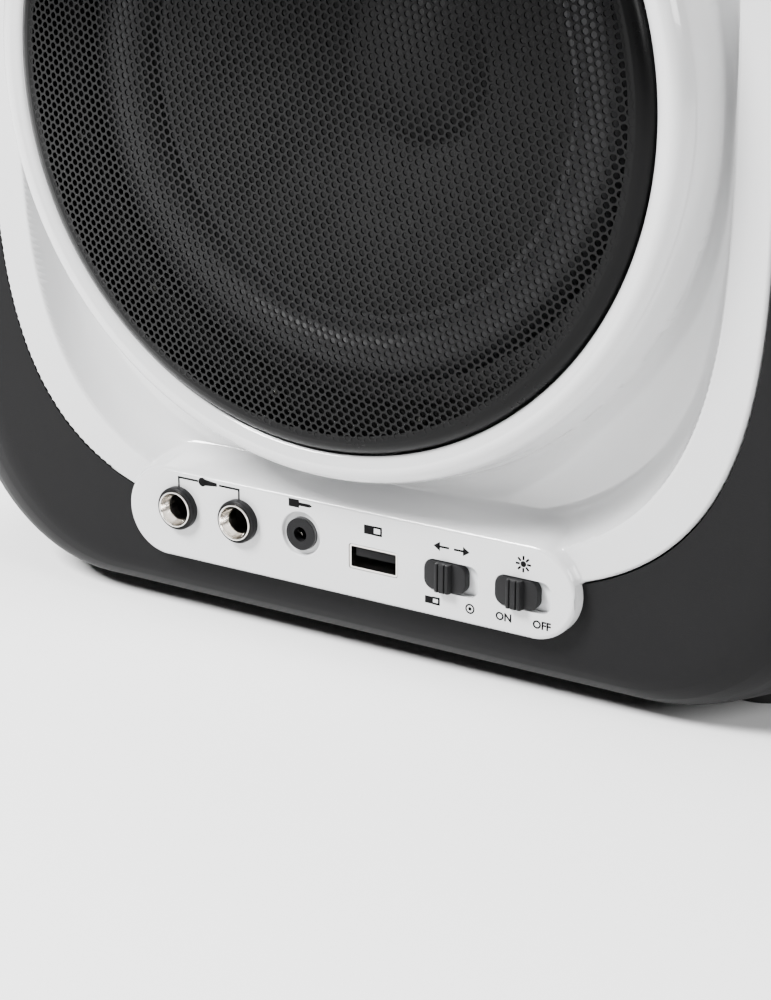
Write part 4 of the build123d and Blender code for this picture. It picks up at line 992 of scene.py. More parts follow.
    def keeps(self, middle: Points) -> Points:
        """Which triangles belong to the face, by their middles."""
        x, z = middle.T
        up = z - self.centre
        radius = np.hypot(x, up)
        keep = (radius < squircle_reach(np.arctan2(up, x), *self.outline)) | (self.strip_distance(x, z) < 0)
        keep &= radius > self.throat * math.cos(math.pi / 400)
        for place in self.jacks:
            keep &= np.hypot(x - place[0], z - place[1]) > self.jack_hole * 0.999
        keep &= np.hypot(x - self.aux[0], z - self.aux[1]) > self.aux_recess * 0.999
        boxes = [(*self.port[:2], *self.port[2:], 0.7)] + [(*place, *self.slot) for place in self.slots]
        for left, low, width, height, corner in boxes:
            dx = np.maximum(np.abs(x - left) - (width / 2 - corner), 0)
            dz = np.maximum(np.abs(z - low) - (height / 2 - corner), 0)
            keep &= np.hypot(dx, dz) > corner
        return keep

    def shell(self, flat: Points, faces: Points) -> Piece:
        """Gives the triangulated face its depth, a back and walls between them.

        Args:
            flat: Points of the plan.
            faces: Triangles between them.

        Returns:
            The mounted piece.
        """
        used = np.unique(faces)
        number = np.full(len(flat), -1)
        number[used] = np.arange(len(used))
        flat, faces = flat[used], number[faces]
        x, z = flat.T
        front = self.depth(x, z)
        back = np.maximum(front + self.sheet, 5.0)
        count = len(flat)
        corner = flat[faces]
        area = np.cross(corner[:, 1] - corner[:, 0], corner[:, 2] - corner[:, 0])
        faces = np.where((area > 0)[:, None], faces, faces[:, ::-1])
        sides = np.vstack([faces[:, [0, 1]], faces[:, [1, 2]], faces[:, [2, 0]]])
        keys = {(int(a), int(b)) for a, b in sides}
        rim = [(a, b) for a, b in keys if (b, a) not in keys]
        form = Form()
        form.add(np.column_stack([x, self.plane + front, z]), [list(map(int, face)) for face in faces])
        form.add(np.column_stack([x, self.plane + back, z]), [list(map(int, face[::-1])) for face in faces])
        form.faces += [[b, a, a + count, b + count] for a, b in rim]
        piece = form.piece("bezel_moulding", 40, False)
        self.shade(piece)
        return mount(piece, Body.CABINET, "bezel_white", WHITE, "front_bezel")

    def shade(self, piece: Piece) -> None:
        """Sets exact normals on the face, so that its gloss runs evenly."""
        mesh = piece.data
        place = np.zeros(len(mesh.vertices) * 3)
        mesh.vertices.foreach_get("co", place)
        x, y, z = place.reshape(-1, 3).T / MM
        step = 0.02
        slope_x = (self.depth(x + step, z) - self.depth(x - step, z)) / (2 * step)
        slope_z = (self.depth(x, z + step) - self.depth(x, z - step)) / (2 * step)
        normal = np.column_stack([slope_x, -np.ones_like(x), slope_z])
        normal /= np.linalg.norm(normal, axis=1)[:, None]
        on_face = np.abs(y - self.plane - self.depth(x, z)) < 0.01
        corners = np.zeros(len(mesh.loops) * 3)
        mesh.corner_normals.foreach_get("vector", corners)
        corners = corners.reshape(-1, 3)
        for face in mesh.polygons:
            loops = range(face.loop_start, face.loop_start + face.loop_total)
            owners = [mesh.loops[loop].vertex_index for loop in loops]
            if len(owners) == 3 and all(on_face[owner] for owner in owners) and face.normal.y < -0.05:
                for loop, owner in zip(loops, owners):
                    corners[loop] = normal[owner]
        mesh.normals_split_custom_set(corners)


# ---------------------------------------------------------------- geometry nodes

class Grove:
    """Builds one Geometry Nodes tree with named inputs and grows a plain mesh from it."""

    def __init__(self, name: str) -> None:
        """Starts a tree that takes and gives geometry."""
        self.tree = bpy.data.node_groups.new(name, "GeometryNodeTree")
        self.bench = Bench(self.tree)
        self.identifiers: dict[str, str] = {}
        self.tree.interface.new_socket("Geometry", in_out=Side.IN.value, socket_type="NodeSocketGeometry")
        self.tree.interface.new_socket("Geometry", in_out=Side.OUT.value, socket_type="NodeSocketGeometry")
        self.entry: bpy.types.Node | None = None

    def inputs(self, **kinds: str) -> dict[str, Socket]:
        """Adds the named inputs.

        Args:
            kinds: Socket kind of each input, such as Float or Int.

        Returns:
            The inner socket of each input by name.
        """
        for name, kind in kinds.items():
            made = self.tree.interface.new_socket(name, in_out=Side.IN.value, socket_type="NodeSocket" + kind)
            self.identifiers[name] = made.identifier
        self.entry = self.bench.node("NodeGroupInput")
        return {name: self.entry.outputs[name] for name in kinds}

    def node(self, kind: str, settings: dict | None = None, inputs: dict | None = None) -> bpy.types.Node:
        """Adds a node to the tree."""
        return self.bench.node(kind, settings, inputs)

    def finish(self, geometry: Socket, material: bpy.types.Material) -> None:
        """Ends the tree with real geometry that carries its material."""
        real = self.node("GeometryNodeRealizeInstances", {}, {0: geometry})
        dressed = self.node("GeometryNodeSetMaterial", {}, {0: real.outputs[0], "Material": material})
        self.node("NodeGroupOutput", {}, {0: dressed.outputs[0]})

    def grow(self, name: str, seed: Piece | None = None, **values: float) -> Piece:
        """Runs the tree on a piece and keeps the result as a plain mesh.

        Args:
            name: Name of the finished piece.
            seed: Object whose mesh feeds the tree, an empty one if left out.
            values: Numbers for the named inputs.

        Returns:
            The finished piece.
        """
        piece = seed or link(name, bpy.data.meshes.new(name))
        modifier = piece.modifiers.new("grow", "NODES")
        modifier.node_group = self.tree
        for key, number in values.items():
            modifier[self.identifiers[key]] = number
        settle(piece)
        piece.name = piece.data.name = name
        return piece


# ---------------------------------------------------------------- speaker

@dataclass
class Grille:
    """Perforated dome with a smooth rolled rim."""

    plane: float = PLANE
    centre: float = SPEAKER_Z
    crown: float = 19.0
    edge_radius: float = 80.5
    edge_rise: float = 11.0
    pitch: float = 1.95
    rows: int = 100  # even, so that every second row is shifted
    hole: float = 0.8
    wall: float = 0.5
    turn: float = 41.5
    skirt_radius: float = 83.6
    skirt_back: float = 4.0

    def ball(self) -> float:
        """Radius of the ball that the dome is cut from."""
        rise = self.crown - self.edge_rise
        return (self.edge_radius ** 2 + rise ** 2) / (2 * rise)

    def dome(self, radius: float) -> float:
        """Depth of the dome behind its crown at a radius."""
        ball = self.ball()
        return ball - math.sqrt(ball ** 2 - radius ** 2)

    def cell(self) -> Piece:
        """One hole with the sheet round it: a six-sided cell with an eight-sided wall."""
        sides, holes = 6, 8
        corner = self.pitch / math.sqrt(3)
        outer = circle(corner, sides, math.pi / 6)
        inner = circle(self.hole, holes, math.pi / 6)
        points = [(x, y, 0.0) for x, y in outer] + [(x, y, 0.0) for x, y in inner]
        points += [(x * 0.97, y * 0.97, -self.wall) for x, y in inner]
        faces: list[list[int]] = []
        out_step, in_step = 0, 0
        while out_step < sides or in_step < holes:
            low, high = out_step % sides, sides + in_step % holes
            if in_step == holes or out_step < sides and (out_step + 1) / sides <= (in_step + 1) / holes:
                faces.append([low, (out_step + 1) % sides, high])
                out_step += 1
            else:
                faces.append([low, sides + (in_step + 1) % holes, high])
                in_step += 1
        first = sides + holes
        faces += [[sides + step, sides + (step + 1) % holes, first + (step + 1) % holes, first + step]
                  for step in range(holes)]
        form = Form()
        form.add(points, faces)
        return form.piece("grille_cell", 25)

    def sheet(self) -> Piece:
        """Repeats the cell over the dome with Geometry Nodes."""
        grove = Grove("perforation")
        given = grove.inputs(Pitch="Float", Reach="Float", Ball="Float", Turn="Float", Rows="Int", Cell="Object")
        bench = grove.bench
        pitch, rows = Value(bench, given["Pitch"]), Value(bench, given["Rows"])
        width = pitch * (rows - 1)
        grid = grove.node("GeometryNodeMeshGrid", {}, {
            "Size X": width, "Size Y": width * (math.sqrt(3) / 2), "Vertices X": given["Rows"],
            "Vertices Y": given["Rows"]})
        index = Value(bench, grove.node("GeometryNodeInputIndex").outputs[0])
        odd = bench.value("ShaderNodeMath", {"operation": "MODULO"}, {0: index, 1: 2.0})
        shift = grove.node("ShaderNodeCombineXYZ", {}, {"X": odd * pitch * 0.5})
        staggered = grove.node("GeometryNodeSetPosition", {}, {0: grid.outputs[0], "Offset": shift.outputs[0]})
        place = grove.node("GeometryNodeInputPosition").outputs[0]
        away = bench.value("ShaderNodeVectorMath", {"operation": "LENGTH"}, {0: place}, "Value")
        outside = bench.value("FunctionNodeCompare", {"data_type": "FLOAT", "operation": "GREATER_THAN"},
                              {0: away, 1: given["Reach"]})
        kept = grove.node("GeometryNodeDeleteGeometry", {"domain": "POINT"},
                          {0: staggered.outputs[0], "Selection": outside})
        cell = grove.node("GeometryNodeObjectInfo", {"transform_space": "ORIGINAL"},
                          {"Object": given["Cell"], "As Instance": True})
        copies = grove.node("GeometryNodeInstanceOnPoints", {}, {0: kept.outputs[0], "Instance":
                                                                 cell.outputs["Geometry"]})
        real = grove.node("GeometryNodeRealizeInstances", {}, {0: copies.outputs[0]})
        welded = grove.node("GeometryNodeMergeByDistance", {}, {0: real.outputs[0], "Distance": 0.02 * MM})
        parts = grove.node("ShaderNodeSeparateXYZ", {}, {0: grove.node("GeometryNodeInputPosition").outputs[0]})
        across, along = Value(bench, parts.outputs[0]), Value(bench, parts.outputs[1])
        ball = Value(bench, given["Ball"])
        sag = (ball * ball - across * across - along * along).root() - ball
        fall = grove.node("ShaderNodeCombineXYZ", {}, {"Z": sag})
        domed = grove.node("GeometryNodeSetPosition", {}, {0: welded.outputs[0], "Offset": fall.outputs[0]})
        spin = grove.node("ShaderNodeCombineXYZ", {}, {"Z": given["Turn"]})
        turned = grove.node("GeometryNodeTransform", {}, {0: domed.outputs[0], "Rotation": spin.outputs[0]})
        front = grove.node("GeometryNodeTransform", {}, {
            0: turned.outputs[0], "Translation": (0.0, (self.plane - self.crown) * MM, self.centre * MM),
            "Rotation": (math.pi / 2, 0.0, 0.0)})
        grove.finish(front.outputs[0], GRILLE.material())
        cell_object = self.cell()
        piece = grove.grow("grille_sheet", Pitch=self.pitch * MM, Reach=(self.edge_radius - 0.75) * MM,
                           Ball=self.ball() * MM, Turn=math.radians(self.turn), Rows=self.rows,
                           Cell=cell_object)
        bpy.data.objects.remove(cell_object)
        soften(piece, 30)
        return piece

    def rim(self) -> Piece:
        """Rolled rim and skirt, with the plain margin under the outermost holes."""
        edge = -self.crown + self.dome(self.edge_radius)
        lean = math.asin(self.edge_radius / self.ball())
        chord = (self.skirt_radius - self.edge_radius, 4.0)
        bow = (chord[0] ** 2 + chord[1] ** 2) / (2 * (chord[1] * math.cos(lean) - chord[0] * math.sin(lean)))
        middle = (self.edge_radius - bow * math.sin(lean), edge + bow * math.cos(lean))
        outer = [(78.6, -self.crown + self.dome(78.6) + 0.10), (79.9, -self.crown + self.dome(79.9) + 0.06),
                 (80.25, -self.crown + self.dome(80.25) - 0.06)]
        turn = np.linspace(-math.pi / 2 + lean, 0.05, 12)
        outer += [(middle[0] + bow * math.cos(angle), middle[1] + bow * math.sin(angle)) for angle in turn]
        outer += [(self.skirt_radius, -5.0), (self.skirt_radius, self.skirt_back)]
        inner = [(radius - 1.0, depth + (0.9 if depth < -8 else 0.0)) for radius, depth in reversed(outer[3:])]
        profile = [(radius, -depth) for radius, depth in outer + inner + [(78.6, outer[0][1] + 0.8)]]
        return Form().turned(profile, facing(0.0, self.plane, self.centre), 240, True).piece("grille_rim", 35)

    def build(self) -> None:
        """Makes the sheet and the rim in place of the plain dish."""
        mount(self.sheet(), Body.CABINET, "grille_steel", GRILLE, "speaker_grille")
        mount(self.rim(), Body.CABINET, "grille_steel", RIM)


# ---------------------------------------------------------------- socket strip

@dataclass
class Sockets:
    """Plated microphone sockets, the small headphone-size socket and the port."""

    plane: float = PLANE
    jacks: Profile = JACKS
    bush: Profile = (
        (3.2, -3.0), (3.2, -0.1), (3.3, 0.1), (3.45, 0.3), (4.02, 1.95), (4.1, 2.25), (4.2, 2.38), (4.32, 2.4),
        (4.44, 2.36), (4.5, 2.2), (4.5, -3.0))
    ring: Profile = (
        (4.52, -1.0), (4.52, 1.6), (4.62, 1.82), (4.8, 1.9), (5.05, 1.88), (5.26, 1.74), (5.38, 1.5), (5.4, 1.2),
        (5.4, 0.0))
    aux: Pair = AUX
    nose: Profile = (
        (1.78, -13.0), (1.78, -1.5), (2.0, -1.25), (2.3, -1.15), (2.4, -0.7), (2.5, -0.6), (2.95, -0.55),
        (3.05, -0.1), (3.15, 0.12), (3.35, 0.25), (3.6, 0.28), (3.87, 0.2), (4.0, 0.0), (4.03, -0.3), (4.03, -3.4),
        (3.4, -13.0))
    cup: Profile = (
        (4.12, -2.5), (4.12, -1.0), (5.0, -1.0), (5.2, -0.95), (5.35, -0.75), (5.42, -0.3), (5.5, -0.12),
        (5.62, -0.03), (5.8, 0.0))
    port: Pair = PORT
    slits: Row = (3.0, -1.15)
    contacts: Row = (0.4, 2.6, 4.4)
    pads: Row = (-3.5, -1.0, 1.0, 3.5)

    def build(self) -> None:
        """Makes and mounts all sockets."""
        bushes, rings = Form(), Form()
        for x, z in self.jacks:
            bushes.turned(self.bush, facing(x, self.plane, z), 72, True)
            rings.turned(self.ring, facing(x, self.plane, z), 72)
        body = Body.CABINET
        metal = bushes.piece("jack_bushes", 30)
        slits = Form()
        for x, z in self.jacks:
            for angle in self.slits:
                turn = at(x, self.plane, z) @ Matrix.Rotation(-angle, 4, "Y")
                slits.join(Form().block((2.9, -2.6, -0.15), (4.25, -0.4, 0.15), 0.02).moved(turn))
        mount(carve(metal, slits.piece("slits")), body, "nickel", NICKEL, "mic_jack_nuts")
        mount(rings.piece("jack_rings", 40), body, "jack_black", SOCKET_BLACK, "mic_jack_rings")
        nose = Form().turned(self.nose, facing(self.aux[0], self.plane, self.aux[1]), 72, True)
        mount(nose.piece("aux_nose", 30), body, "jack_black", NOSE_BLACK)
        cup = Form().turned(self.cup, facing(self.aux[0], self.plane, self.aux[1]), 96)
        mount(cup.piece("aux_recess", 40), body, "bezel_white", STRIP_WHITE)
        contacts = Form()
        for angle in self.contacts:
            turn = at(self.aux[0], self.plane, self.aux[1]) @ Matrix.Rotation(angle, 4, "Y")
            contacts.join(Form().block((1.35, 2.2, -0.45), (1.8, 6.0, 0.45), 0.08).moved(turn))
        mount(contacts.piece("aux_contacts"), body, "nickel", NICKEL)
        pads = Form()
        for column in self.pads:
            x, z = self.port[0] + column, self.port[1] - 0.03
            pads.block((x - 0.5, self.plane + 1.9, z), (x + 0.5, self.plane + 9.0, z + 0.12), 0.03)
        mount(pads.piece("port_contacts"), body, "socket_gold", GOLD)


@dataclass
class Slides:
    """Two slide switches with a grooved rib, each in its white slot."""

    plane: float = PLANE
    places: Profile = SLOTS
    slot: Triple = SLOT
    floor_depth: float = 1.9
    floor_sheet: float = 0.6
    gap: Triple = (7.6, 3.0, 0.3)
    pad: Triple = (11.4, 7.1, 2.4)
    clear: float = 0.1
    rib: Triple = (4.0, 7.1, 2.2)

    def slide(self, x: float, z: float) -> Form:
        """One slide with its pad, its rib of three ridges and its stem."""
        middle = x - self.slot[0] / 2 + self.clear + self.pad[0] / 2
        form = Form()
        rings = []
        for depth, inset in ((1.6, 0.1), (-0.05, 0.0), (-0.25, 0.05), (-0.42, 0.18), (-0.5, 0.42)):
            flat = rounded(self.pad[0] - 2 * inset, self.pad[1] - 2 * inset, self.pad[2] - inset, 10, 2)
            rings.append(upright(flat, middle, z, self.plane + depth))
        form.skin(rings)
        half, high = self.rib[0] / 2, self.rib[1] / 2
        profile = [(-half, 0.2), (-half + 0.08, -1.7), (-half + 0.2, -2.05), (-half + 0.45, -2.2), (-1.15, -2.2),
                   (-1.02, -2.08), (-0.95, -1.75), (-0.78, -1.75), (-0.7, -2.08), (-0.58, -2.2), (0.58, -2.2),
                   (0.7, -2.08), (0.78, -1.75), (0.95, -1.75), (1.02, -2.08), (1.15, -2.2), (half - 0.45, -2.2),
                   (half - 0.2, -2.05), (half - 0.08, -1.7), (half, 0.2)]
        line = np.array(profile)
        rings = []
        for up, inset in ((-high, 0.35), (-high + 0.12, 0.12), (-high + 0.35, 0.0), (high - 0.35, 0.0),
                          (high - 0.12, 0.12), (high, 0.35)):
            depth = np.where(line[:, 1] < 0, line[:, 1] + inset, line[:, 1])
            rings.append(np.column_stack([middle + line[:, 0], self.plane + depth, np.full(len(line), z + up)]))
        form.skin(rings)
        form.block((middle - 2.0, self.plane + 1.5, z - 1.2), (middle + 2.0, self.plane + 5.4, z + 1.2), 0.1)
        return form

    def floors(self) -> Piece:
        """White floors of the slots, each with the gap its stem slides in."""
        form = Form()
        for x, z in self.places:
            outer = rounded(self.slot[0] + 0.4, self.slot[1] + 0.4, self.slot[2] + 0.2, 8, 2)
            gap = rounded(*self.gap, 8, 2)
            top, low = self.floor_depth, self.floor_depth + self.floor_sheet
            rings = []
            for flat, depth in ((outer, top), (gap, top), (gap, low), (outer, low), (outer, top)):
                rings.append(upright(flat, x if flat is outer else x - 0.1, z, self.plane + depth))
            form.skin(rings, False, False)
        return form.piece("slot_floors", 30)

    def build(self) -> None:
        """Makes and mounts the slides and the floors."""
        mount(self.floors(), Body.CABINET, "bezel_white", FLOOR_WHITE)
        for name, place, body in (("function", self.places[0], Body.FUNCTION), ("light", self.places[1], Body.LIGHT)):
            piece = self.slide(*place).piece(name + "_grip", 30)
            mount(piece, body, "switch_black", SWITCH_BLACK, name + "_slide")


# ---------------------------------------------------------------- printed marks

@dataclass
class Marks:
    """Flat printed marks drawn from strokes, dots and figures on a plane."""

    thick: float = 0.03
    stroke: float = 0.52
    letter: float = 1.42
    bold: float = 0.05
    form: Form = field(default_factory=Form)
    turn: Matrix = field(default_factory=lambda: at(0.0, -106.0, 0.0))

    def sheet(self, outline: Points, x: float, z: float, inner: Points | None = None) -> None:
        """Adds a printed shape, or a band between two outlines.

        Args:
            outline: Points of the outer edge about the mark's middle.
            x: Place across.
            z: Place up.
            inner: Points of the inner edge, as many as the outer has.
        """
        outer = [self.turn @ Vector(point) for point in upright(outline, x, z, 0.02)]
        top = [self.turn @ Vector(point) for point in upright(outline, x, z, -self.thick)]
        if inner is None:
            self.form.skin([np.array(outer), np.array(top)])
            return
        low = [self.turn @ Vector(point) for point in upright(inner, x, z, 0.02)]
        high = [self.turn @ Vector(point) for point in upright(inner, x, z, -self.thick)]
        self.form.skin([np.array(part) for part in (outer, top, high, low, outer)], False, False)

    def line(self, *points: Pair) -> None:
        """Strokes from point to point."""
        for (x0, z0), (x1, z1) in zip(points, points[1:]):
            long = math.hypot(x1 - x0, z1 - z0) + self.stroke
            flat = rounded(long, self.stroke, 0.04, 1, 0)
            angle = math.atan2(z1 - z0, x1 - x0)
            spin = np.array([[math.cos(angle), -math.sin(angle)], [math.sin(angle), math.cos(angle)]])
            self.sheet(flat @ spin.T, (x0 + x1) / 2, (z0 + z1) / 2)

    def ring(self, x: float, z: float, radius: float, width: float = 0.0) -> None:
        """A printed circle, full where no width is given."""
        if width:
            self.sheet(circle(radius, 32), x, z, circle(radius - width, 32))
        else:
            self.sheet(circle(radius, 24), x, z)

    def poly(self, *points: Pair) -> None:
        """A filled shape through points."""
        self.sheet(np.array(points), 0.0, 0.0)

    def draw(self, *signs: tuple) -> None:
        """Draws signs, each the name of one of these methods and its values."""
        for kind, *values in signs:
            getattr(self, kind)(*values)

    def words(self, text: str, x: float, z: float, height: float) -> None:
        """Figures or ON and OFF, centred on a place.

        Args:
            text: What is written.
            x: Middle across.
            z: Foot of the letters.
            height: Height of the letters.
        """
        curve = bpy.data.curves.new("letters", "FONT")
        curve.body = text
        curve.align_x = "CENTER"
        curve.size = self.letter * height
        curve.offset = self.bold * height
        curve.extrude = self.thick
        curve.resolution_u = 3
        letters = link("letters", curve)
        mesh = bpy.data.meshes.new_from_object(letters.evaluated_get(bpy.context.evaluated_depsgraph_get()))
        points = [self.turn @ Vector((v.co.x + x, -v.co.z, v.co.y + z)) for v in mesh.vertices]
        self.form.add(points, [list(face.vertices) for face in mesh.polygons])
        bpy.data.objects.remove(letters)
        bpy.data.curves.remove(curve)
        bpy.data.meshes.remove(mesh)

    def microphone(self, x: float, z: float, size: float = 1.0) -> None:
        """A small microphone lying on its side."""
        self.ring(x - 1.5 * size, z, 1.15 * size)
        self.poly((x - 0.6 * size, z + 0.8 * size), (x + 2.9 * size, z + 0.42 * size),
                  (x + 2.9 * size, z - 0.42 * size), (x - 0.6 * size, z - 0.8 * size))

    def plug(self, x: float, z: float) -> None:
        """A round plug with its tip."""
        self.poly((x - 3.4, z - 1.0), (x - 0.4, z - 1.0), (x - 0.4, z + 1.0), (x - 3.4, z + 1.0))
        self.poly((x - 0.4, z - 0.42), (x + 2.6, z - 0.42), (x + 3.4, z), (x + 2.6, z + 0.42), (x - 0.4, z + 0.42))

    def port(self, x: float, z: float, size: float = 1.0) -> None:
        """A flat plug seen from above."""
        a, b = 2.0 * size, 0.9 * size
        self.poly((x - a, z - b), (x + 0.2 * size, z - b), (x + 0.2 * size, z + b), (x - a, z + b))
        self.line((x + 0.3 * size, z - b * 0.8), (x + 1.8 * size, z - b * 0.8), (x + 1.8 * size, z + b * 0.8),
                  (x + 0.3 * size, z + b * 0.8))

    def disc(self, x: float, z: float, size: float = 1.0) -> None:
        """A disc with its middle hole."""
        self.ring(x, z, 1.25 * size, 0.4 * size)
        self.ring(x, z, 0.45 * size)

    def arrows(self, x: float, z: float) -> None:
        """Two arrows that point apart."""
        for side in (-1, 1):
            self.line((x + side * 0.9, z), (x + side * 3.2, z))
            self.poly((x + side * 4.9, z), (x + side * 3.1, z - 1.15), (x + side * 3.1, z + 1.15))

    def sun(self, x: float, z: float, size: float = 1.0) -> None:
        """A lamp sign: a disc with rays."""
        self.ring(x, z, 0.75 * size)
        for step in range(8):
            angle = TAU * step / 8
            near, far = 1.2 * size, 1.75 * size
            self.line((x + near * math.cos(angle), z + near * math.sin(angle)),
                      (x + far * math.cos(angle), z + far * math.sin(angle)))

    def triangle(self, x: float, z: float, size: float, angle: float = 0.0) -> None:
        """A filled triangle that points along an angle."""
        self.poly(*((x + px, z + pz) for px, pz in circle(size, 3, angle)))

    def bar(self, x: float, z: float, width: float, height: float) -> None:
        """A filled upright bar."""
        self.sheet(rounded(width, height, 0.05, 1, 0), x, z)

    def wedge(self, x: float, z: float) -> None:
        """A loudness sign: a wedge that grows."""
        self.poly((x - 3.0, z - 0.9), (x + 3.0, z - 0.9), (x + 3.0, z + 1.0), (x - 3.0, z - 0.6))

    def echo(self, x: float, z: float) -> None:
        """A repeat sign: three dots that shrink."""
        for step, radius in enumerate((1.0, 0.75, 0.5)):
            self.ring(x - 2.2 + 2.4 * step, z, radius, 0.35)

    def digit(self, figure: str, x: float, z: float, high: float) -> None:
        """One figure of a seven-bar display.

        Args:
            figure: Letters of the bars that are lit, from a at the top round to f, and g in the middle.
            x: Middle across.
            z: Foot of the figure.
            high: Height of the figure.
        """
        half, thick = high * 0.24, high * 0.1
        gap = thick * 0.62
        low, mid, top = z, z + high / 2, z + high
        bars = {"a": (x, top, 0), "b": (x + half, (top + mid) / 2, 1), "c": (x + half, (low + mid) / 2, 1),
                "d": (x, low, 0), "e": (x - half, (low + mid) / 2, 1), "f": (x - half, (top + mid) / 2, 1),
                "g": (x, mid, 0)}
        for name in figure:
            across, up, upright_bar = bars[name]
            long = (high / 4 if upright_bar else half) - gap
            shape = [(-long, 0), (-long + thick / 2, thick / 2), (long - thick / 2, thick / 2), (long, 0),
                     (long - thick / 2, -thick / 2), (-long + thick / 2, -thick / 2)]
            self.poly(*((across + (b if upright_bar else a), up + (a if upright_bar else b)) for a, b in shape))

    def finish(self, name: str, slot: str, finish: Finish, body: str = Body.CABINET) -> None:
        """Mounts what was drawn as one piece."""
        mount(self.form.piece(name, 30), body, slot, finish)


@dataclass
class StripMarks(Marks):
    """Marks over and under the sockets and switches."""

    line_z: float = 37.9

    def build(self) -> None:
        """Draws all marks of the strip."""
        (left, _), (right, _) = JACKS
        z = self.line_z
        self.line((left, z - 2.3), (left, z), (left + 5.6, z))
        self.line((right, z - 2.3), (right, z), (right - 5.6, z))
        self.microphone((left + right) / 2 - 0.4, z)
        self.draw(("plug", -11.5, 37.6), ("port", 9.0, 34.9, 1.25), ("arrows", 30.5, 34.6), ("sun", 49.55, 34.7),
                  ("disc", 35.6, 20.9), ("port", 25.4, 20.9), ("words", "ON", 44.6, 19.9, 1.9),
                  ("words", "OFF", 54.6, 19.9, 1.9))
        self.finish("strip_marks", "jack_black", INK)
# ---------------------------------------------------------------- case

PANEL_PLACE = at(0.0, -57.650, 316.768) @ Matrix.Rotation(math.radians(22), 4, "X")
SYMBOLS = {
    "power": (("line", *((1.9 * math.sin(turn), 1.9 * math.cos(turn) - 0.2)
                         for turn in np.linspace(0.6, TAU - 0.6, 22))), ("line", (0.0, 0.3), (0.0, 2.2))),
    "stop": (("bar", 0.0, 0.0, 3.0, 3.0),),
    "back": (("triangle", -0.5, 0.0, 1.5, math.pi), ("triangle", 1.7, 0.0, 1.5, math.pi),
             ("bar", -2.3, 0.0, 0.5, 2.6)),
    "play": (("triangle", -1.2, 0.0, 1.7), ("bar", 1.3, 0.0, 0.6, 2.8), ("bar", 2.5, 0.0, 0.6, 2.8)),
    "next": (("triangle", -1.7, 0.0, 1.5), ("triangle", 0.5, 0.0, 1.5), ("bar", 2.3, 0.0, 0.5, 2.6)),
    "open": (("triangle", 0.0, 0.4, 1.8, math.pi / 2), ("bar", 0.0, -1.5, 3.1, 0.7)),
}
FIGURES = {"0": "abcdef", "2": "abged", "3": "abgcd", "4": "fgbc", "7": "abc"}
BUTTONS = dict(zip(("power", "stop", "back", "play", "next", "open"), (-55, -33, -11, 11, 33, 55)))
BUTTON_UP = -13.0  # along the slope
KNOB_UP = 8.0
TRAY_Z = 278.0
KNOBS = {"mic_one": -110, "mic_two": -76, "echo": 76, "volume": 110}


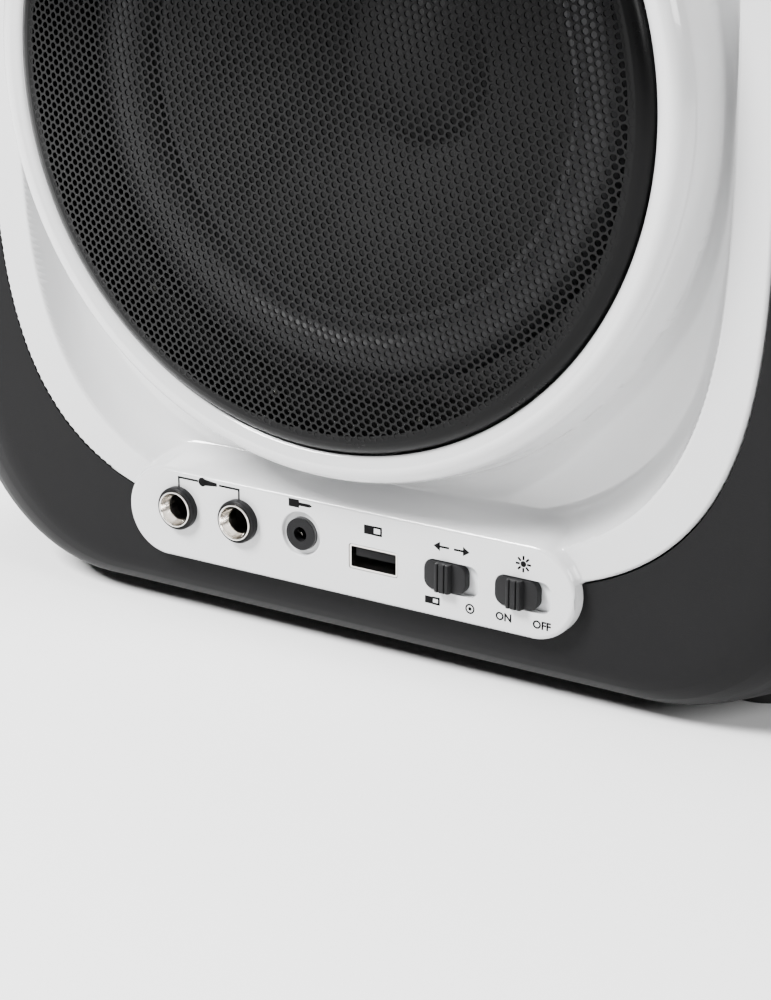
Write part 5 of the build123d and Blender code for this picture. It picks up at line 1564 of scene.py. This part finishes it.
@dataclass
class Case:
    """Front half of the case and the panel on its slope, each with smooth outer curves."""

    half: Pair = (150.0, 165.0)
    middle: float = 169.0
    cheek: Pair = (43.0, 87.3)
    edge: float = 8.5
    corner: Pair = (1.5, 30.0)
    chin: Profile = ((0.0, 42.0), (14.0, 48.0), (40.0, 46.0), (68.0, 34.0), (87.3, 30.0))
    front: float = -102.3
    wall: float = 3.0
    panel: float = 5.0
    bezel: Triple = (105.9, 113.4, 3.5)
    strip: Pair = (121.8, 18.4)
    tray: Pair = (149.2, 23.2)
    button_hole: float = 6.8
    knob_hole: float = 5.0
    window: Triple = (84.2, 24.2, 3.0)
    window_up: float = 17.0

    def section(self, depth: float, inset: float) -> Points:
        """Section of the case.

        Args:
            depth: How far the section is behind the front.
            inset: How far the form is drawn in.

        Returns:
            Its points, in place.
        """
        wide, deep = self.cheek
        share = math.sqrt(1 - (1 - depth / deep) ** 2)
        gone = self.edge - math.sqrt(self.edge ** 2 - max(self.edge - depth, 0.0) ** 2)
        size = (2 * (self.half[0] - inset - wide * (1 - share)), 2 * (self.half[1] - inset - gone))
        turns = (self.corner[0] + (self.corner[1] - inset - self.corner[0]) * share ** 2,
                 float(hermite(self.chin, np.array([depth]))[0]) - inset)
        upper, lower = (rounded(*size, turn, 20, 3) for turn in turns)
        flat = np.vstack([upper[:len(upper) // 2], lower[len(lower) // 2:]])
        return upright(flat, 0.0, self.middle, self.front + depth)

    def sections(self, inset: float) -> list[Points]:
        """Sections from the front of the form to the joint with the rear half."""
        turn = 1 - np.cos(np.linspace(0, math.pi / 2, 19))
        depths = {round(float(depth), 4) for depth in (*self.edge * turn[::2], *self.cheek[1] * turn)}
        kept = sorted({inset} | {depth for depth in depths if depth > inset})
        return [self.section(depth, inset) for depth in kept]

    def prism(self, outline: Points, z: float) -> Piece:
        """A cutter through the front wall."""
        return Form().skin([upright(outline, 0.0, z, self.front + step) for step in (-4, 9)]).piece("cutter")

    def slab(self, low: float, high: float) -> Piece:
        """A block along the slope between two heights over it."""
        return Form().block((-200, -200, low), (200, 200, high)).moved(PANEL_PLACE).piece("slab")

    def build(self) -> None:
        """Makes and mounts the shell and the panel."""
        angle = np.linspace(0, TAU, 480, endpoint=False)
        reach = squircle_reach(angle, *self.bezel)
        shell = Form().skin(self.sections(0.0) + self.sections(self.wall)[::-1]).piece("case_front", 30)
        for cutter in (self.prism(np.column_stack([reach * np.cos(angle), reach * np.sin(angle)]), SPEAKER_Z),
                       self.prism(rounded(*self.strip, self.strip[1] / 2, 32), STRIP_Z),
                       self.prism(rounded(*self.tray, self.tray[1] / 2, 32), TRAY_Z), self.slab(-self.panel, 200)):
            carve(shell, cutter)
        mount(edged(shell, 0.25), Body.CABINET, "case_black", CASE, "front_shell")
        panel = Form().skin(self.sections(0.0)).piece("panel_cover", 30)
        carve(panel, self.slab(-self.panel, 0), "INTERSECT")
        holes = Form()
        for row, up, radius in ((BUTTONS, BUTTON_UP, self.button_hole), (KNOBS, KNOB_UP, self.knob_hole)):
            for x in row.values():
                holes.skin([level(circle(radius, 48), x, up, z) for z in (-9.0, 4)])
        holes.skin([level(rounded(*self.window), 0.0, self.window_up, z) for z in (-1.5, 4)])
        carve(panel, holes.moved(PANEL_PLACE).piece("holes"))
        mount(edged(panel, 0.3), Body.CABINET, "panel_black", PANEL, "control_panel")


# ---------------------------------------------------------------- repeated parts

@dataclass
class Repeats:
    """Parts that one small tree copies along a line or round an axis."""

    def __post_init__(self) -> None:
        """Holds the trees already grown, one for each finish."""
        self.groves: dict[str, Grove] = {}

    def grove(self, finish: Finish) -> Grove:
        """The tree for a finish: a cell copied in steps and turns, then set in place."""
        if finish.name in self.groves:
            return self.groves[finish.name]
        grove = Grove("repeat_" + finish.name)
        given = grove.inputs(Count="Int", Step="Vector", Turn="Vector", Place="Vector", Tilt="Vector", Cell="Object")
        line = grove.node("GeometryNodeMeshLine", {"mode": "OFFSET"},
                          {"Count": given["Count"], "Offset": given["Step"]})
        index = grove.node("GeometryNodeInputIndex").outputs[0]
        turn = grove.node("ShaderNodeVectorMath", {"operation": "SCALE"}, {0: given["Turn"], "Scale": index})
        cell = grove.node("GeometryNodeObjectInfo", {"transform_space": "ORIGINAL"},
                          {"Object": given["Cell"], "As Instance": True})
        copies = grove.node("GeometryNodeInstanceOnPoints", {}, {
            0: line.outputs[0], "Instance": cell.outputs["Geometry"], "Rotation": turn.outputs[0]})
        real = grove.node("GeometryNodeRealizeInstances", {}, {0: copies.outputs[0]})
        joined = grove.node("GeometryNodeJoinGeometry")
        for source in (real.outputs[0], grove.entry.outputs[0]):
            grove.tree.links.new(source, joined.inputs[0])
        set_down = grove.node("GeometryNodeTransform", {}, {
            0: joined.outputs[0], "Translation": given["Place"], "Rotation": given["Tilt"]})
        grove.finish(set_down.outputs[0], finish.material())
        self.groves[finish.name] = grove
        return grove

    def grow(self, name: str, cell: Form, finish: Finish, count: int, place: Matrix,
             step: Sequence[float] = (0, 0, 0), turn: Sequence[float] = (0, 0, 0),
             seed: Form | None = None) -> Piece:
        """Copies a cell and joins it with a plain part.

        Args:
            name: Name of the piece.
            cell: What is copied, in the place's own directions.
            finish: Its finish.
            count: How many copies.
            place: Where the whole piece goes, in millimetres.
            step: Way from copy to copy, in millimetres.
            turn: Turn from copy to copy, in degrees.
            seed: Form that the copies are joined with.

        Returns:
            The finished piece.
        """
        pattern = cell.piece(name + "_cell")
        base = (seed or Form()).piece(name, 30)
        piece = self.grove(finish).grow(name, base, Count=count, Step=[part * MM for part in step],
                                        Turn=[math.radians(part) for part in turn],
                                        Place=list(place.translation * MM), Tilt=list(place.to_euler()), Cell=pattern)
        bpy.data.objects.remove(pattern)
        soften(piece)
        return piece


REPEATS = Repeats()


# ---------------------------------------------------------------- controls

@dataclass
class Controls:
    """Knobs, buttons, their marks and the display on the sloping panel."""

    knob: Profile = (
        (0.0, -7.4), (3.0, -7.4), (3.0, 0.6), (11.0, 0.6), (11.75, 0.75), (12.0, 1.1), (12.0, 2.4), (11.8, 2.8),
        (11.3, 3.0), (11.05, 3.3), (10.75, 11.2), (10.6, 12.2), (10.2, 13.0), (9.6, 13.45), (8.8, 13.6), (8.4, 13.55),
        (8.0, 13.35), (4.0, 13.2), (0.0, 13.15))
    key: Profile = (
        (0.0, 1.42), (2.0, 1.44), (3.6, 1.5), (5.0, 1.64), (5.7, 1.78), (6.05, 1.78), (6.3, 1.66), (6.45, 1.4),
        (6.5, 1.1), (6.5, -4.6), (6.0, -4.7), (6.0, -5.3), (7.9, -5.3), (8.0, -5.4), (8.0, -6.7), (7.9, -6.8),
        (2.0, -6.8), (2.0, -8.7), (0.0, -8.7))
    ribs: int = 40
    ticks: int = 11

    def build(self) -> None:
        """Makes all controls."""
        for name, x in KNOBS.items():
            self.rotary(name, PANEL_PLACE @ at(x, KNOB_UP, 0.0))
        for name, x in BUTTONS.items():
            self.push(name, PANEL_PLACE @ at(x, BUTTON_UP, 0.0))
        self.legends()
        self.display()

    def rotary(self, name: str, place: Matrix) -> None:
        """One ribbed knob, its pointer and the scale round it."""
        body = frame["nodes"][name + "_knob"]["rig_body"]
        seed = Form().turned(self.knob, Matrix.Identity(4), 80)
        rib = Form().skin([level(np.array([(10.4, -0.36), (11.12 - lean, -0.34), (11.42 - lean, -0.16),
                                           (11.42 - lean, 0.16), (11.12 - lean, 0.34), (10.4, 0.36)]), 0, 0, z)
                           for z, lean in ((3.0, 0.25), (3.5, 0.0), (11.0, 0.25), (12.0, 0.55), (12.4, 0.9))])
        piece = REPEATS.grow(name + "_grip", rib, KNOB, self.ribs, place, turn=(0, 0, 360 / self.ribs), seed=seed)
        mount(piece, body, "knob_black", KNOB, name + "_knob")
        pointer = Form().block((-0.55, 4.2, 13.1), (0.55, 10.4, 13.66), 0.12).moved(place)
        mount(pointer.piece(name + "_pointer"), body, "bezel_white", INK_WHITE)
        tick = Form().block((-0.2, 13.6, -0.02), (0.2, 15.4, 0.03), 0.01)
        start = place @ Matrix.Rotation(math.radians(-150), 4, "Z")
        mount(REPEATS.grow(name + "_scale", tick, INK_WHITE, self.ticks, start, turn=(0, 0, 300 / (self.ticks - 1))),
              Body.CABINET, "bezel_white", INK_WHITE)

    def push(self, name: str, place: Matrix) -> None:
        """One dished key with its printed symbol."""
        body = frame["nodes"][name + "_button"]["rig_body"]
        mount(Form().turned(self.key, place, 64).piece(name + "_key", 30), body, "button_white", KEY_WHITE,
              name + "_button")
        marks = Marks(turn=place @ at(0, 0, 1.47) @ OUTWARD, thick=0.06, stroke=0.5)
        marks.draw(*SYMBOLS[name])
        marks.finish(name + "_mark", "jack_black", INK, body)

    def legends(self) -> None:
        """Signs and figures round the knobs."""
        marks = Marks(turn=PANEL_PLACE @ OUTWARD)
        for x in KNOBS.values():
            marks.draw(("words", "0", x - 8.9, -9.6, 2.2), ("words", "10", x + 9.3, -9.6, 2.2))
        marks.draw(("microphone", -111.6, -13.6, 1.1), ("words", "1", -105.8, -14.9, 2.6),
                   ("microphone", -77.6, -13.6, 1.1), ("words", "2", -71.8, -14.9, 2.6), ("echo", 76.0, -13.6),
                   ("wedge", 110.0, -13.6))
        marks.finish("panel_marks", "bezel_white", INK_WHITE)

    def display(self) -> None:
        """Lit figures of the display and the signs between them."""
        marks = Marks(turn=PANEL_PLACE @ OUTWARD, thick=0.04)
        for x, figure in zip((-29.0, -19.5, 5.5, 18.5, 28.0), "03247"):
            marks.digit(FIGURES[figure], x, 11.0, 12.0)
        marks.draw(("ring", 12.0, 14.4, 0.75), ("ring", 12.0, 19.4, 0.75), ("triangle", -8.0, 19.6, 1.7),
                   ("bar", -9.2, 13.4, 0.9, 3.0), ("bar", -6.8, 13.4, 0.9, 3.0))
        marks.finish("display_figures", "display_glass", GLOW)


# ---------------------------------------------------------------- rear, handle and tray

@dataclass
class Fittings:
    """Small parts of the rear, the handle, the feet and the tray."""

    rear: float = 113.0
    phono: tuple[tuple[str, float], ...] = (("yellow", -98.0), ("white", -80.0), ("red", -62.0))
    phono_z: float = 37.0
    collar: Profile = ((4.16, 0.0), (4.16, 0.9), (4.4, 1.05), (5.9, 1.05), (6.3, 0.9), (6.4, 0.6), (6.4, 0.0))
    sleeve_end: Profile = ((1.72, 8.2), (1.72, 8.75), (1.9, 8.85), (3.3, 8.85), (3.4, 8.7), (3.4, 8.2))
    screw: Profile = (
        (0.0, -12.0), (1.5, -12.0), (1.5, 0.0), (3.3, 0.0), (3.4, 0.15), (3.35, 1.2), (2.9, 2.1), (2.0, 2.7),
        (0.9, 2.95), (0.0, 3.0))
    screw_seat: float = -12.0
    ribs: int = 29
    rib_step: float = 3.0
    lamps: int = 12
    lens: Profile = ((1.15, -1.0), (1.15, -1.35), (0.9, -1.75), (0.5, -1.95), (0.0, -2.0), (0.0, -1.0))
    lens_reach: float = 78.95
    screws: Profile = ((-130.0, 44.0), (130.0, 44.0), (-130.0, 294.0), (130.0, 294.0))

    def build(self) -> None:
        """Makes all fittings."""
        self.sockets()
        self.screw_heads()
        self.sleeve()
        self.ring_lamps()
        marks = Marks()
        marks.draw(("disc", 0.0, TRAY_Z, 2.4), ("line", (-9.0, TRAY_Z), (-5.2, TRAY_Z)),
                   ("line", (5.2, TRAY_Z), (9.0, TRAY_Z)))
        marks.finish("tray_mark", "jack_black", INK, Body.TRAY)

    def sockets(self) -> None:
        """Coloured insulators round the phono sockets and the signs next to them."""
        for name, x in self.phono:
            back = at(x, self.rear, self.phono_z) @ OUTWARD
            ring = Form().turned(self.collar, back, 64, True)
            bore = Form().turned(self.sleeve_end, back, 48, True)
            mount(ring.join(bore).piece(name + "_bush", 30), Body.CABINET, "inlet_black", PRINTS[name])
        marks = Marks(turn=at(0, self.rear, 0) @ Matrix.Rotation(math.pi, 4, "Z"))
        marks.draw(("words", "L", 80.0, 45.6, 2.6), ("words", "R", 62.0, 45.6, 2.6), ("bar", 98.0, 46.9, 4.4, 2.6),
                   ("line", (56.5, 52.2), (102.0, 52.2)))
        self.polarity(marks, 34.0, 47.6)
        marks.finish("rear_marks", "bezel_white", INK_WHITE)

    def polarity(self, marks: Marks, x: float, z: float) -> None:
        """Sign of a power inlet whose pin is positive."""
        marks.ring(x, z, 1.5, 0.35)
        marks.ring(x, z, 0.6)
        for side in (-1, 1):
            marks.line((x + side * 1.6, z), (x + side * 3.0, z))
            marks.ring(x + side * 4.4, z, 1.4, 0.3)
            marks.line((x + side * 4.4 - 0.7, z), (x + side * 4.4 + 0.7, z))
        marks.line((x + 4.4, z - 0.7), (x + 4.4, z + 0.7))

    def screw_heads(self) -> None:
        """Pan heads with a cross recess at the bottom of their wells."""
        heads, crosses = Form(), Form()
        for x, z in self.screws:
            place = at(x, self.screw_seat, z) @ OUTWARD
            heads.turned(self.screw, place, 40)
            for turn in (0.3, 0.3 + math.pi / 2):
                spin = place @ Matrix.Rotation(turn, 4, "Z")
                crosses.join(Form().block((-1.9, -0.35, 1.3), (1.9, 0.35, 4.0), 0.05).moved(spin))
        piece = heads.piece("screw_heads", 30)
        mount(carve(piece, crosses.piece("crosses")), Body.CABINET, "rod_steel", STEEL_Y, "case_screws")

    def sleeve(self) -> None:
        """Ribs round the rubber sleeve of the handle."""
        rings = []
        for x, grow in ((-0.75, -0.3), (-0.5, 0.2), (-0.25, 0.34), (0.25, 0.34), (0.5, 0.2), (0.75, -0.3)):
            flat = rounded(14.4 + 2 * grow, 13.1 + 2 * grow, 3.0 + grow, 8, 3)
            rings.append(np.column_stack([np.full(len(flat), x), flat]))
        piece = REPEATS.grow("sleeve_ribs", Form().skin(rings), RUBBER, self.ribs,
                             at(-42.0, 24.0, 326.85), step=(self.rib_step, 0, 0))
        mount(piece, Body.HANDLE, "rubber", RUBBER)

    def ring_lamps(self) -> None:
        """Lens of each lamp behind the rim of the grille."""
        lens = Form().turned(self.lens, at(self.lens_reach, 0.0, 0.0) @ OUTWARD, 16)
        apart = 360 / self.lamps
        start = at(0.0, -102.0, SPEAKER_Z) @ Matrix.Rotation(math.radians(-apart / 2), 4, "Y")
        mount(REPEATS.grow("ring_lamps", lens, LAMP, self.lamps, start, turn=(0, apart, 0)), Body.CABINET,
              "bezel_white", LAMP)


# ---------------------------------------------------------------- pieces whose solid already has their shape

@dataclass(frozen=True)
class Dressed:
    """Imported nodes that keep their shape: their slot, their finish and the edge rounding of each."""

    slot: str
    finish: Finish
    bevels: dict[str, float]

    def build(self) -> None:
        """Makes a smooth copy of each and mounts it in place of the node."""
        for node, bevel in self.bevels.items():
            mount(refined(node, bevel), frame["nodes"][node]["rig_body"], self.slot, self.finish, node)


DRESSED = (
    Dressed("case_black", CASE, {"rear_shell": 0.3}),
    Dressed("panel_black", PANEL, {"jack_plate": 0.2}),
    Dressed("bezel_white", WHITE, {"tray_front": 0}),
    Dressed("jack_black", SOCKET_BLACK, {"mic_jack_bodies": 0, "aux_jack": 0, "usb_tongue": 0}),
    Dressed("switch_black", SWITCH_BLACK, {"slide_switches": 0}),
    Dressed("nickel", NICKEL, {"usb_shell": 0}),
    Dressed("ring_plastic", RING, {"retaining_ring": 0}),
    Dressed("circuit_board", BOARD, {"input_board": 0, "panel_circuit": 0, "main_board": 0}),
    Dressed("circuit_board", LAMP_BOARD, {"light_board": 0}),
    Dressed("basket_steel", BASKET, {"speaker_basket": 0}),
    Dressed("magnet_ferrite", FERRITE, {"speaker_magnet": 0.4}),
    Dressed("cone_paper", CONE, {"speaker_cone": 0}),
    Dressed("surround_rubber", SURROUND, {"speaker_surround": 0}),
    Dressed("rubber", RUBBER, {"feet": 0.3, "handle_grip": 0.3, "drive_belt": 0}),
    Dressed("tray_plastic", TRAY, {"disc_tray": 0.25}),
    Dressed("chassis_plastic", CHASSIS, {"drive_chassis": 0.2, "clamp_bridge": 0.2}),
    Dressed("gear_plastic", ACETAL, {"drive_gear": 0, "belt_gear": 0, "motor_pulley": 0}),
    Dressed("deck_steel", ZINC, {"deck_frame": 0.15, "loading_motor": 0.2, "spindle_motor": 0.2, "sled_motor": 0.2}),
    Dressed("rod_steel", STEEL_Y, {"guide_rod": 0, "lead_screw": 0}),
    Dressed("sled_plastic", SLED, {"laser_sled": 0.2}),
    Dressed("lens_glass", LENS, {"sled_lens": 0}),
    Dressed("turntable_plastic", TURNTABLE, {"turntable": 0.1, "clamp_puck": 0.3}),
    Dressed("display_glass", WINDOW, {"display_window": 0}),
    Dressed("pot_metal", STAMPED, {"knob_pots": 0.2}),
    Dressed("handle_plastic", HANDLE, {"carry_handle": 0.3}),
    Dressed("socket_gold", GOLD, {"phono_jacks": 0.1}),
    Dressed("inlet_black", SOCKET_BLACK, {"power_inlet": 0.1}),
)


def main() -> None:
    """Builds and dresses every sub-assembly in order."""
    logging.basicConfig(level=logging.INFO, format="%(message)s")
    for assembly in (Studio(), Case(), Bezel(), Grille(), Sockets(), Slides(), StripMarks(), Controls(), Fittings()):
        assembly.build()
    for dressed in DRESSED:
        dressed.build()


if __name__ == "__main__":
    main()
